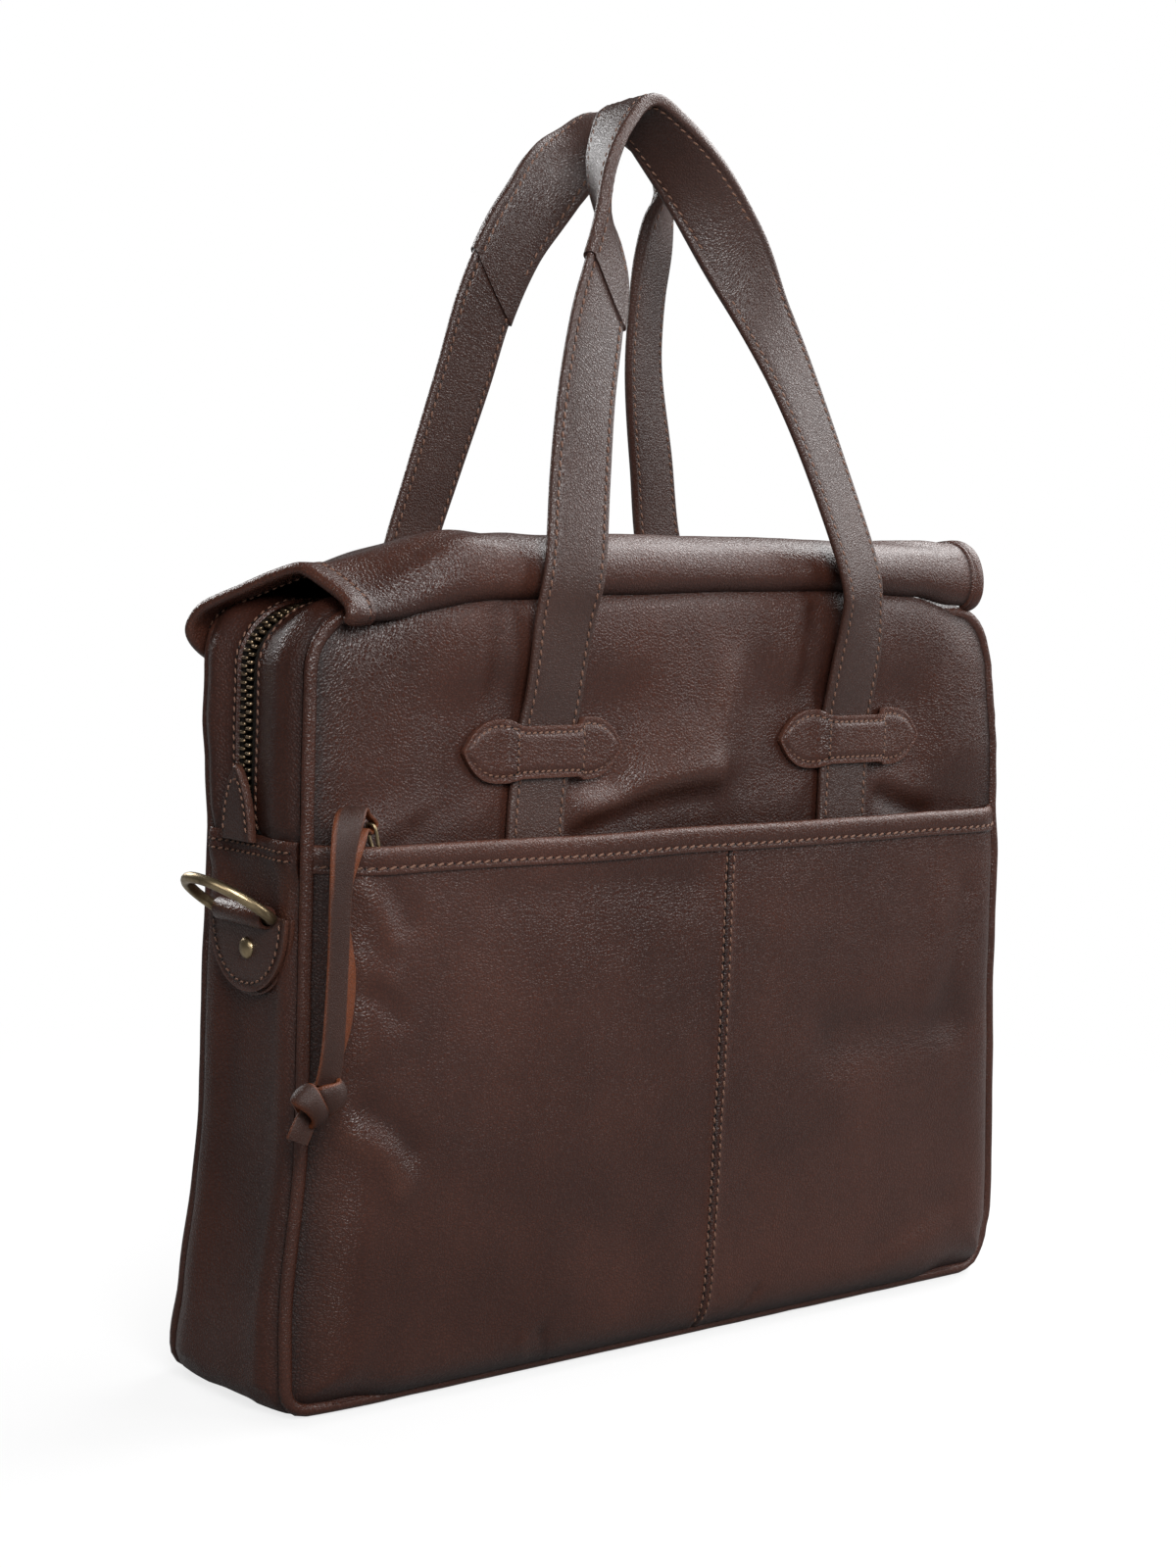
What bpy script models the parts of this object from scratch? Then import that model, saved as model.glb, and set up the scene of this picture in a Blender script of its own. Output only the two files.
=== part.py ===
"""Leather briefcase: zipped top under a storm flap, zipped front pocket, two strap handles.

Metres, +Z up. The bag stands on Z = 0, its width runs along X and its front looks along -Y.
"""

import math

import bmesh
import bpy
from mathutils import Matrix, Vector

# Body
WIDTH = 0.400
HEIGHT = 0.322
DEPTH = 0.084
BOTTOM_RADIUS = 0.026
TOP_RADIUS = 0.038
CORNER_STEPS = 8
LEATHER = 0.0022
GAP = 0.0003
PIPING_RADIUS = 0.003
PANEL_RECESS = 0.0008
LINING = 0.0008
SEAM_Z = 0.226
BOTTOM_SEAM_X = 0.168
BASE_BOARD = 0.002
BASE_BOARD_HALF_X = 0.165

# Main zip
ZIP_SLOT_HALF = 0.007
TAPE = 0.0008
TAPE_REACH = 0.0125
TEETH_NEAR = 0.0007
TEETH_FAR = 0.0038
TEETH_PROUD = 0.0007
TEETH_HEIGHT = 0.0022
TEETH_FOOT_Z = 0.236
END_TAB_WIDTH = 0.024
END_TAB_HEIGHT = 0.028
END_TAB = 0.0016
END_TAB_ARCH = 1.6

# Zip sliders and their pulls
SLIDER_LENGTH = 0.012
MAIN_SLIDER_HALF = 0.0034
SLIDER_PLATE = 0.0014
SLIDER_WEB_HALF = 0.0003
BRIDGE_LENGTH = 0.009
BRIDGE_RISE = 0.0038
BRIDGE_BAR = 0.001
BRIDGE_HALF = 0.0006
MAIN_SLIDER_X = 0.0085
MAIN_PULL_LENGTH = 0.026
PULL_WIRE = 0.0006

# Pockets
RIM_Z = 0.2277
RIM_HEIGHT = 0.0102
BINDING = 0.0008
POCKET_LEATHER = 0.0018
POCKET_FOOT_INSET = 0.004
POCKET_FACE_INSET = 0.014
FRONT_POCKET_DEPTH = 0.0108
REAR_POCKET_DEPTH = 0.0090
POCKET_SEAM_X = 0.0130
BINDING_HALF_X = 0.1835
POCKET_ZIP_Z = 0.2145
POCKET_ZIP_HALF = 0.0020
POCKET_ZIP_HALF_X = 0.180
POCKET_TAPE_DROP = 0.011
POCKET_SLIDER_X = -0.172
PULL_LOOP_HALF = 0.0014
PULL_LOOP_LENGTH = 0.0175
PULL_LOOP_LEAN = math.radians(17)

# Thong through the pocket pull, as points from the pull down to the knot
THONG_HALF_WIDTH = 0.0055
THONG_HALF_THICK = 0.0012
THONG_ROUTE = [
    (-0.1850, -0.0497, 0.2400),
    (-0.1860, -0.0535, 0.2405),
    (-0.1880, -0.0560, 0.2330),
    (-0.1895, -0.0565, 0.2100),
    (-0.1930, -0.0575, 0.1750),
    (-0.1970, -0.0582, 0.1395),
]
KNOT_LENGTH = 0.017
KNOT_TAIL = 0.012
KNOT_HALF_WIDTH = 0.0085
KNOT_HALF_THICK = 0.0045
# Along the knot: share of its length, then shares of its width and thickness
KNOT_STATIONS = [(0.0, 0.6, 0.5), (0.25, 1.0, 1.0), (0.75, 1.0, 1.0), (1.0, 0.7, 0.5)]
KNOT_TAIL_STATION = (0.8, 0.3)

# Handles
STRAP_HALF_WIDTH = 0.015
STRAP = 0.003
GRIP = 0.0012
STRAP_FOOT_Z = 0.2195
HANDLE_X = 0.090
HINGE_Z = 0.296
HINGE_OUT = 0.0530
HINGE_CLEAR_BELOW = 0.004
HINGE_CLEAR_ABOVE = 0.003
HANDLE_RISE = 0.010
SHOULDER_OUT = 0.0553
SHOULDER_Z = 0.338
APEX_OUT = 0.0175
APEX_Z = 0.5315
FRONT_HANDLE_SHAPE = [
    (-0.0800, 0.338),
    (-0.0750, 0.375),
    (-0.0670, 0.415),
    (-0.0545, 0.458),
    (-0.0470, 0.492),
    (-0.0380, 0.518),
    (-0.0190, 0.5315),
    (0.0060, 0.5150),
    (0.0310, 0.470),
    (0.0520, 0.420),
    (0.0740, 0.378),
    (0.0840, 0.338),
]
REAR_HANDLE_SHAPE = [
    (-0.0820, 0.338),
    (-0.0750, 0.388),
    (-0.0670, 0.425),
    (-0.0580, 0.460),
    (-0.0510, 0.490),
    (-0.0400, 0.518),
    (-0.0120, 0.5315),
    (0.0170, 0.5130),
    (0.0270, 0.470),
    (0.0370, 0.420),
    (0.0520, 0.378),
    (0.0680, 0.338),
]
TWIST_RISE = (0.26, 0.45)
TWIST_FALL = (0.55, 0.90)
GRIP_SPAN = (0.29, 0.71)
STRAP_STEPS = 4

# Keeper tabs sewn across the straps
TAB_Z = 0.263
TAB_HALF_LENGTH = 0.044
TAB_END_LENGTH = 0.016
TAB_HALF_HEIGHT = 0.012
TAB_WAIST = 0.0015
TAB = 0.0022
TAB_LIFT_FLAT = 0.0163
TAB_LIFT_END = 0.0215
TAB_STATIONS = 28
TAB_POINT = 0.85

# Flap: its section from the front seam over the ridge to the rear drop, as (y, z)
FLAP = 0.0036
FLAP_HINGE = (-0.0465, 0.3325)
FLAP_SEAM_ROUTE = [(-0.0405, 0.3245), (-0.0440, 0.3270), (-0.0462, 0.3308)]
FLAP_COVER_ROUTE = [
    (-0.0463, 0.3345),
    (-0.0440, 0.3400),
    (-0.0360, 0.3448),
    (-0.0260, 0.3460),
    (0.0000, 0.3420),
    (0.0240, 0.3355),
    (0.0385, 0.3280),
    (0.0447, 0.3180),
    (0.0447, 0.3055),
]
FLAP_STEPS = 3
FLAP_FRONT_HALF = 0.182
FLAP_REAR_HALF = 0.199
FLAP_BINDING_WIDTH = 0.009
FLAP_BINDING = 0.0046

# D-rings and the chapes that hold them
RING_WIRE = 0.00225
RING_RADIUS = 0.0200
RING_CENTRE = 0.0065
RING_STEPS = 20
RING_Z = 0.198
RING_LEAN = math.radians(64)
CHAPE = 0.004
CHAPE_LOOP = 0.0046
CHAPE_BORE = 0.0027
CHAPE_LOOP_HALF = 0.0160
CHAPE_HALF_WIDTH = 0.0275
CHAPE_HEIGHT = 0.033
CHAPE_STEPS = 16
CHAPE_ROUND = 0.75
RIVET_Z = 0.184
RIVET_RADIUS = 0.0042
RIVET_SHANK = 0.0015
RIVET_CAP = 0.0013
ROUND_SIDES = 20

# Worked out from the sizes above
HALF_WIDTH = WIDTH / 2
HALF_DEPTH = DEPTH / 2
PANEL_FACE = HALF_DEPTH - PANEL_RECESS
PANEL_BACK = PANEL_FACE - LEATHER
PANEL_INSET = 2 * PIPING_RADIUS + GAP
GUSSET_HALF = HALF_DEPTH - 2 * PIPING_RADIUS - GAP
TAPE_INSET = LEATHER + GAP
TEETH_INSET = TAPE_INSET - TEETH_PROUD
STRAP_BACK = PANEL_FACE + GAP
STRAP_FACE = STRAP_BACK + STRAP


def clear_scene():
    for obj in list(bpy.data.objects):
        bpy.data.objects.remove(obj)


def finish(name, colour, roughness, metallic=0.0):
    """A Principled material of one colour."""
    material = bpy.data.materials.new(name)
    material.use_nodes = True
    shader = material.node_tree.nodes["Principled BSDF"]
    shader.inputs["Base Color"].default_value = (*colour, 1.0)
    shader.inputs["Roughness"].default_value = roughness
    shader.inputs["Metallic"].default_value = metallic
    return material


def add_object(name, data, material, pivot=None):
    """Puts mesh or curve data in the scene, hung on a pivot empty where the piece moves."""
    obj = bpy.data.objects.new(name, data)
    bpy.context.scene.collection.objects.link(obj)
    obj.data.materials.append(material)
    if pivot is not None:
        obj.parent = pivot
        obj.matrix_parent_inverse = Matrix.Translation(-pivot.location)
    return obj


def add_solid(name, bm, material, pivot=None):
    """Turns a finished bmesh into a named object with its faces pointing out."""
    bmesh.ops.recalc_face_normals(bm, faces=bm.faces)
    mesh = bpy.data.meshes.new(name)
    bm.to_mesh(mesh)
    bm.free()
    return add_object(name, mesh, material, pivot)


def add_tube(name, points, radius, material, pivot=None):
    """A closed loop of round wire or cord through the points."""
    curve = bpy.data.curves.new(name, "CURVE")
    curve.dimensions = "3D"
    curve.bevel_depth = radius
    curve.bevel_resolution = 2
    spline = curve.splines.new("POLY")
    spline.points.add(len(points) - 1)
    for point, place in zip(spline.points, points):
        point.co = (*place, 1.0)
    spline.use_cyclic_u = True
    return add_object(name, curve, material, pivot)


def add_pivot(name, location, parent=None):
    """An empty on a joint's axis, which carries the pieces that move together."""
    pivot = bpy.data.objects.new(name, None)
    bpy.context.scene.collection.objects.link(pivot)
    pivot.location = location
    if parent is not None:
        pivot.parent = parent
        pivot.matrix_parent_inverse = Matrix.Translation(-parent.location)
    return pivot


def combine(obj, bm, operation):
    """Adds or cuts a helper shape with a Boolean, and leaves the helper out of the render."""
    helper = add_solid(f"{obj.name}_{operation.lower()}", bm, obj.data.materials[0])
    helper.hide_render = True
    helper.display_type = "WIRE"
    modifier = obj.modifiers.new(operation.title(), "BOOLEAN")
    modifier.operation = operation
    modifier.solver = "EXACT"
    modifier.object = helper


def arc(centre, radius, start, end, steps=CORNER_STEPS):
    """Points of an arc, both ends included, with angles in degrees."""
    points = []
    for i in range(steps + 1):
        angle = math.radians(start + (end - start) * i / steps)
        points.append((centre[0] + radius * math.cos(angle), centre[1] + radius * math.sin(angle)))
    return points


def bottom_corner(inset):
    """The lower left corner, from the side round to the bottom."""
    centre = (-HALF_WIDTH + BOTTOM_RADIUS, BOTTOM_RADIUS)
    return arc(centre, BOTTOM_RADIUS - inset, 180, 270)


def top_corner(inset):
    """The upper left corner, from the side round to the top."""
    centre = (-HALF_WIDTH + TOP_RADIUS, HEIGHT - TOP_RADIUS)
    return arc(centre, TOP_RADIUS - inset, 180, 90)


def mirrored(points):
    """The same points on the other side of X = 0, in reverse order."""
    return [(-x, z) for x, z in reversed(points)]


def panel_outline(inset):
    """The whole rounded outline of a front or rear panel, as (x, z)."""
    left = list(reversed(bottom_corner(inset))) + top_corner(inset)
    return left + mirrored(left)


def side_path(inset):
    """The left gusset's line, from the gusset seam down round the corner to the bottom seam."""
    return [(-HALF_WIDTH + inset, SEAM_Z - GAP)] + bottom_corner(inset) + [(-BOTTOM_SEAM_X, inset)]


def top_path(inset, foot_z):
    """The zip gusset's line, from the left seam over the top to the right seam."""
    left = [(-HALF_WIDTH + inset, foot_z)] + top_corner(inset)
    return left + mirrored(left)


def extruded(bm, direction):
    """Gives the flat faces of a bmesh a thickness."""
    grown = bmesh.ops.extrude_face_region(bm, geom=bm.faces[:])
    moved = [item for item in grown["geom"] if isinstance(item, bmesh.types.BMVert)]
    bmesh.ops.translate(bm, verts=moved, vec=direction)
    return bm


def plate(outline, y_from, y_to):
    """A flat piece whose outline lies in the XZ plane."""
    bm = bmesh.new()
    bm.faces.new([bm.verts.new((x, y_from, z)) for x, z in outline])
    return extruded(bm, (0, y_to - y_from, 0))


def bar_along_x(section, x_from, x_to):
    """A piece of constant section, given as (y, z)."""
    bm = bmesh.new()
    bm.faces.new([bm.verts.new((x_from, y, z)) for y, z in section])
    return extruded(bm, (x_to - x_from, 0, 0))


def band(outer, inner, y_from, y_to):
    """A strip of leather or tape that follows two parallel lines in the XZ plane."""
    bm = bmesh.new()
    rows = [[bm.verts.new((x, y_from, z)) for x, z in line] for line in (outer, inner)]
    for i in range(len(outer) - 1):
        bm.faces.new((rows[0][i], rows[0][i + 1], rows[1][i + 1], rows[1][i]))
    return extruded(bm, (0, y_to - y_from, 0))


def box(low, high):
    bm = bmesh.new()
    size = [b - a for a, b in zip(low, high)]
    centre = [(a + b) / 2 for a, b in zip(low, high)]
    bmesh.ops.create_cube(bm, size=1.0)
    bmesh.ops.scale(bm, verts=bm.verts, vec=size)
    bmesh.ops.translate(bm, verts=bm.verts, vec=centre)
    return bm


def round_bar(radius, centre, length, axis):
    """A round bar about its centre, along the X or the Y axis."""
    turn = Matrix.Rotation(math.radians(90), 4, "Y" if axis == "X" else "X")
    bm = bmesh.new()
    bmesh.ops.create_cone(
        bm,
        cap_ends=True,
        segments=ROUND_SIDES,
        radius1=radius,
        radius2=radius,
        depth=length,
        matrix=Matrix.Translation(centre) @ turn,
    )
    return bm


def loft(sections):
    """A solid through a row of four-cornered sections, capped at both ends."""
    bm = bmesh.new()
    rings = [[bm.verts.new(point) for point in section] for section in sections]
    for ring, following in zip(rings, rings[1:]):
        for i in range(4):
            j = (i + 1) % 4
            bm.faces.new((ring[i], ring[j], following[j], following[i]))
    bm.faces.new(rings[0])
    bm.faces.new(rings[-1])
    return bm


def smooth_line(points, steps):
    """Points of a Catmull-Rom curve through the given points."""
    knots = [Vector(point) for point in points]
    knots = [2 * knots[0] - knots[1]] + knots + [2 * knots[-1] - knots[-2]]
    line = []
    for a, b, c, d in zip(knots, knots[1:], knots[2:], knots[3:]):
        for i in range(steps):
            t = i / steps
            line.append(
                0.5 * (2 * b + (c - a) * t + (2 * a - 5 * b + 4 * c - d) * t**2 + (3 * b - a - 3 * c + d) * t**3)
            )
    return line + [knots[-2]]


def smoothstep(value, start, end):
    t = min(max((value - start) / (end - start), 0.0), 1.0)
    return t * t * (3 - 2 * t)


def directions(line):
    """The unit tangent at each point of a line."""
    ahead = line[1:] + line[-1:]
    behind = line[:1] + line[:-1]
    return [(b - a).normalized() for a, b in zip(behind, ahead)]


def distances(line):
    """How far along the line each point lies, from 0 to 1."""
    run = [0.0]
    for a, b in zip(line, line[1:]):
        run.append(run[-1] + (b - a).length)
    return [value / run[-1] for value in run]


def strap_frames(line, twist=None):
    """For each point of a strap: the point, the direction across the strap and its face's normal."""
    frames = []
    for point, along, share in zip(line, directions(line), distances(line)):
        level = Vector((0, 1, 0)).cross(along).normalized()
        turned = along.cross(level)
        angle = twist(share) if twist else 0.0
        across = math.cos(angle) * level + math.sin(angle) * turned
        frames.append((point, across, along.cross(across)))
    return frames


def strap_section(frame, half_width, half_thick):
    point, across, normal = frame
    corners = ((-1, -1), (1, -1), (1, 1), (-1, 1))
    return [point + across * half_width * a + normal * half_thick * b for a, b in corners]


def strap_solid(frames, half_width, half_thick):
    return loft([strap_section(frame, half_width, half_thick) for frame in frames])


def sleeve_solid(frames, half_width, half_thick, wall):
    """A layer wrapped round a strap: a strap-shaped tube that is open at both ends."""
    bm = bmesh.new()
    rings = []
    for grow in (GAP, GAP + wall):
        sections = [strap_section(frame, half_width + grow, half_thick + grow) for frame in frames]
        rings.append([[bm.verts.new(point) for point in section] for section in sections])
    inner, outer = rings
    for i in range(4):
        j = (i + 1) % 4
        for wall_rings in rings:
            for ring, following in zip(wall_rings, wall_rings[1:]):
                bm.faces.new((ring[i], ring[j], following[j], following[i]))
        for end in (0, -1):
            bm.faces.new((inner[end][i], inner[end][j], outer[end][j], outer[end][i]))
    return bm


def make_body(leather, lining, board):
    """Panels, gussets, piping, lining and the board that stiffens the base."""
    for name, side in (("front", -1), ("rear", 1)):
        outline = panel_outline(PANEL_INSET)
        add_solid(f"{name}_panel", plate(outline, side * PANEL_BACK, side * PANEL_FACE), leather)
        inner_face = PANEL_BACK - GAP
        add_solid(
            f"{name}_lining", plate(outline, side * (inner_face - LINING), side * inner_face), lining
        )
        piping_y = side * (HALF_DEPTH - PIPING_RADIUS)
        route = [(x, piping_y, z) for x, z in panel_outline(PIPING_RADIUS)]
        add_tube(f"{name}_piping", route, PIPING_RADIUS, leather)
        add_solid(
            f"{name}_zip_gusset",
            band(
                top_path(0, SEAM_Z), top_path(LEATHER, SEAM_Z), side * GUSSET_HALF, side * ZIP_SLOT_HALF
            ),
            leather,
        )
    outer = side_path(0)
    inner = side_path(LEATHER)
    add_solid("left_side_gusset", band(outer, inner, -GUSSET_HALF, GUSSET_HALF), leather)
    add_solid(
        "right_side_gusset", band(mirrored(outer), mirrored(inner), -GUSSET_HALF, GUSSET_HALF), leather
    )
    bottom_x = BOTTOM_SEAM_X - GAP
    add_solid(
        "bottom_gusset", box((-bottom_x, -GUSSET_HALF, 0), (bottom_x, GUSSET_HALF, LEATHER)), leather
    )
    board_z = LEATHER + GAP
    board_y = GUSSET_HALF - LEATHER
    add_solid(
        "base_board",
        box((-BASE_BOARD_HALF_X, -board_y, board_z), (BASE_BOARD_HALF_X, board_y, board_z + BASE_BOARD)),
        board,
    )


def make_main_zip(tape, brass, leather):
    """The fixed half of the main zip: tapes, rows of teeth and the leather tabs over its ends."""
    tape_lines = (top_path(TAPE_INSET, SEAM_Z + LEATHER), top_path(TAPE_INSET + TAPE, SEAM_Z + LEATHER))
    teeth_lines = (top_path(TEETH_INSET, TEETH_FOOT_Z), top_path(TEETH_INSET + TEETH_HEIGHT, TEETH_FOOT_Z))
    for name, side in (("front", -1), ("rear", 1)):
        add_solid(
            f"main_zip_{name}_tape",
            band(*tape_lines, side * (TEETH_FAR + GAP), side * TAPE_REACH),
            tape,
        )
        add_solid(
            f"main_zip_{name}_teeth", band(*teeth_lines, side * TEETH_NEAR, side * TEETH_FAR), brass
        )
    for name, side in (("left", -1), ("right", 1)):
        add_solid(f"{name}_zip_end_tab", end_tab(side), leather)


def end_tab(side):
    """A pointed arch of leather that lies on the gusset over the end of the zip."""
    half = END_TAB_WIDTH / 2
    foot_z = SEAM_Z + GAP
    outline = []
    for i in range(-CORNER_STEPS, CORNER_STEPS + 1):
        share = i / CORNER_STEPS
        outline.append((half * share, foot_z + END_TAB_HEIGHT * (1 - abs(share) ** END_TAB_ARCH)))
    x_from = side * (HALF_WIDTH + GAP)
    return bar_along_x(outline, x_from, x_from + side * END_TAB)


def slider_body(x, y, teeth_low, teeth_high, half):
    """A zip slider as an I-section: plates above and below the teeth, joined by a web between the rows."""
    low = teeth_low - GAP
    high = teeth_high + GAP
    right = [
        (half, low - SLIDER_PLATE),
        (half, low),
        (SLIDER_WEB_HALF, low),
        (SLIDER_WEB_HALF, high),
        (half, high),
        (half, high + SLIDER_PLATE),
    ]
    section = right + [(-across, z) for across, z in reversed(right)]
    placed = [(y + across, z) for across, z in section]
    return bar_along_x(placed, x - SLIDER_LENGTH / 2, x + SLIDER_LENGTH / 2)


def slider_bridge(x, y, top):
    """The arch on top of a slider that the pull turns under."""
    half = BRIDGE_LENGTH / 2
    sink = SLIDER_PLATE / 2
    outer = [(x - half, top - sink), (x - half, top + BRIDGE_RISE), (x + half, top + BRIDGE_RISE)]
    outer.append((x + half, top - sink))
    half -= BRIDGE_BAR
    crown = top + BRIDGE_RISE - BRIDGE_BAR
    inner = [(x - half, top - sink), (x - half, crown), (x + half, crown), (x + half, top - sink)]
    return band(outer, inner, y - BRIDGE_HALF, y + BRIDGE_HALF)


def make_main_sliders(brass):
    """Two sliders that meet in the middle of the top, each with a flat pull lying outwards."""
    teeth_top = HEIGHT - TEETH_INSET
    plate_top = teeth_top + GAP + SLIDER_PLATE
    axis_z = plate_top + (BRIDGE_RISE - BRIDGE_BAR) / 2
    for name, side in (("left", -1), ("right", 1)):
        x = side * MAIN_SLIDER_X
        carriage = add_pivot(f"{name}_slider_pivot", (x, 0, teeth_top))
        slider = add_solid(
            f"{name}_main_slider",
            slider_body(x, 0, teeth_top - TEETH_HEIGHT, teeth_top, MAIN_SLIDER_HALF),
            brass,
            carriage,
        )
        combine(slider, slider_bridge(x, 0, plate_top), "UNION")
        pivot = add_pivot(f"{name}_main_pull_pivot", (x, 0, axis_z), carriage)
        half = MAIN_SLIDER_HALF - PULL_WIRE
        far = x + side * MAIN_PULL_LENGTH
        loop = [(x, -half, axis_z), (x, half, axis_z), (far, half, axis_z), (far, -half, axis_z)]
        add_tube(f"{name}_main_pull", loop, PULL_WIRE, brass, pivot)


def pocket_outline(inset, x_from, x_to, top):
    """The outline of a pocket panel between two X positions; a side at the bag's edge has its corner."""
    bottom = [(x_from, inset), (x_to, inset)]
    if x_from < -BOTTOM_SEAM_X:
        bottom = bottom_corner(inset) + bottom[1:]
    if x_to > BOTTOM_SEAM_X:
        bottom = bottom[:-1] + mirrored(bottom_corner(inset))
    right = HALF_WIDTH - inset if x_to > BOTTOM_SEAM_X else x_to
    left = -HALF_WIDTH + inset if x_from < -BOTTOM_SEAM_X else x_from
    return bottom + [(right, top), (left, top)]


def frustum(back, y_back, front, y_front):
    """A solid between two outlines with as many points each."""
    bm = bmesh.new()
    rings = [
        [bm.verts.new((x, y, z)) for x, z in outline] for outline, y in ((back, y_back), (front, y_front))
    ]
    count = len(back)
    for i in range(count):
        j = (i + 1) % count
        bm.faces.new((rings[0][i], rings[0][j], rings[1][j], rings[1][i]))
    bm.faces.new(rings[0])
    bm.faces.new(rings[1])
    return bm


def pocket_panel(name, side, depth, x_from, x_to, leather):
    """A shallow tray of leather whose sloping edges come back to the piping; its top is open."""
    top = RIM_Z - BINDING - GAP
    foot_y = side * (HALF_DEPTH + GAP)
    face_y = side * (PANEL_FACE + depth)
    tray = add_solid(
        name,
        frustum(
            pocket_outline(POCKET_FOOT_INSET, x_from, x_to, top),
            foot_y,
            pocket_outline(POCKET_FACE_INSET, x_from, x_to, top),
            face_y,
        ),
        leather,
    )
    reach = LEATHER
    inner_from = x_from - reach
    inner_to = x_to + reach
    slope = (POCKET_FACE_INSET - POCKET_FOOT_INSET) / (abs(face_y) - abs(foot_y))
    back_inset = POCKET_FOOT_INSET + POCKET_LEATHER
    front_inset = back_inset + slope * (abs(face_y) - POCKET_LEATHER - abs(foot_y))
    behind = POCKET_LEATHER
    cutter = frustum(
        pocket_outline(back_inset - slope * behind, inner_from, inner_to, top + reach),
        side * (abs(foot_y) - behind),
        pocket_outline(front_inset, inner_from, inner_to, top + reach),
        side * (abs(face_y) - POCKET_LEATHER),
    )
    combine(tray, cutter, "DIFFERENCE")


def rim_binding(name, side, depth, leather):
    """Thin leather folded over the top edge of a pocket."""
    face = PANEL_FACE + depth + GAP
    back = PANEL_FACE + depth - POCKET_LEATHER - GAP
    foot = RIM_Z - RIM_HEIGHT
    inside = RIM_Z - BINDING
    section = [
        (face + BINDING, foot),
        (face + BINDING, RIM_Z),
        (back - BINDING, RIM_Z),
        (back - BINDING, foot),
        (back, foot),
        (back, inside),
        (face, inside),
        (face, foot),
    ]
    placed = [(side * y, z) for y, z in section]
    add_solid(name, bar_along_x(placed, -BINDING_HALF_X, BINDING_HALF_X), leather)


def make_pockets(leather):
    """A front pocket in two halves, a plain rear pocket, and their rim bindings."""
    seam = GAP / 2
    wide = WIDTH
    pocket_panel("front_pocket_left_panel", -1, FRONT_POCKET_DEPTH, -wide, POCKET_SEAM_X - seam, leather)
    pocket_panel("front_pocket_right_panel", -1, FRONT_POCKET_DEPTH, POCKET_SEAM_X + seam, wide, leather)
    pocket_panel("rear_pocket_panel", 1, REAR_POCKET_DEPTH, -wide, wide, leather)
    rim_binding("front_pocket_binding", -1, FRONT_POCKET_DEPTH, leather)
    rim_binding("rear_pocket_binding", 1, REAR_POCKET_DEPTH, leather)


def pocket_zip_y():
    """The middle of the pocket zip, whose front tape lies against the back of the pocket panel."""
    tape_back = PANEL_FACE + FRONT_POCKET_DEPTH - POCKET_LEATHER - GAP - TAPE
    return -(tape_back - GAP - POCKET_ZIP_HALF)


def make_pocket_zip(tape, brass):
    """The fixed half of the pocket zip: a tape on the pocket, a tape on the panel and the teeth."""
    middle = pocket_zip_y()
    near = SLIDER_WEB_HALF + GAP
    far = POCKET_ZIP_HALF
    high = POCKET_ZIP_Z + TEETH_HEIGHT
    span = (-POCKET_ZIP_HALF_X, POCKET_ZIP_HALF_X)
    for name, side in (("front", -1), ("rear", 1)):
        low_corner = (span[0], min(middle + side * near, middle + side * far), POCKET_ZIP_Z)
        high_corner = (span[1], max(middle + side * near, middle + side * far), high)
        add_solid(f"pocket_zip_{name}_teeth", box(low_corner, high_corner), brass)
    tape_y = middle - far - GAP
    foot = high - POCKET_TAPE_DROP
    add_solid("pocket_zip_front_tape", box((span[0], tape_y - TAPE, foot), (span[1], tape_y, high)), tape)
    wall = -PANEL_FACE - GAP
    edge = middle + far + GAP
    ledge = POCKET_ZIP_Z + TEETH_HEIGHT / 2
    section = [
        (wall, foot),
        (wall, ledge + TAPE),
        (edge, ledge + TAPE),
        (edge, ledge),
        (wall - TAPE, ledge),
        (wall - TAPE, foot),
    ]
    add_solid("pocket_zip_rear_tape", bar_along_x(section, *span), tape)


def make_pocket_pull(brass, leather):
    """The pocket zip's slider, its pull loop, and the knotted thong that hangs from the loop."""
    middle = pocket_zip_y()
    high = POCKET_ZIP_Z + TEETH_HEIGHT
    x = POCKET_SLIDER_X
    carriage = add_pivot("pocket_slider_pivot", (x, middle, high))
    slider = add_solid(
        "pocket_slider", slider_body(x, middle, POCKET_ZIP_Z, high, POCKET_ZIP_HALF), brass, carriage
    )
    plate_top = high + GAP + SLIDER_PLATE
    combine(slider, slider_bridge(x, middle, plate_top), "UNION")
    axis_z = plate_top + (BRIDGE_RISE - BRIDGE_BAR) / 2
    loop_pivot = add_pivot("pocket_pull_pivot", (x, middle, axis_z), carriage)
    top_x = x - PULL_LOOP_LENGTH * math.sin(PULL_LOOP_LEAN)
    top_z = axis_z + PULL_LOOP_LENGTH * math.cos(PULL_LOOP_LEAN)
    loop = [
        (x, middle - PULL_LOOP_HALF, axis_z),
        (x, middle + PULL_LOOP_HALF, axis_z),
        (top_x, middle + PULL_LOOP_HALF, top_z),
        (top_x, middle - PULL_LOOP_HALF, top_z),
    ]
    add_tube("pocket_pull_loop", loop, PULL_WIRE, brass, loop_pivot)
    thong_pivot = add_pivot("pocket_thong_pivot", (top_x, middle, top_z), loop_pivot)
    line = smooth_line(THONG_ROUTE, STRAP_STEPS)
    add_solid(
        "pull_thong",
        strap_solid(thong_frames(line), THONG_HALF_WIDTH, THONG_HALF_THICK),
        leather,
        thong_pivot,
    )
    add_solid("thong_knot", knot(line[-1], (line[-1] - line[-2]).normalized()), leather, thong_pivot)


def thong_frames(line):
    """The thong lies flat on what it hangs over, so it is always as wide along X."""
    across = Vector((1, 0, 0))
    return [(point, across, along.cross(across).normalized()) for point, along in zip(line, directions(line))]


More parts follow.
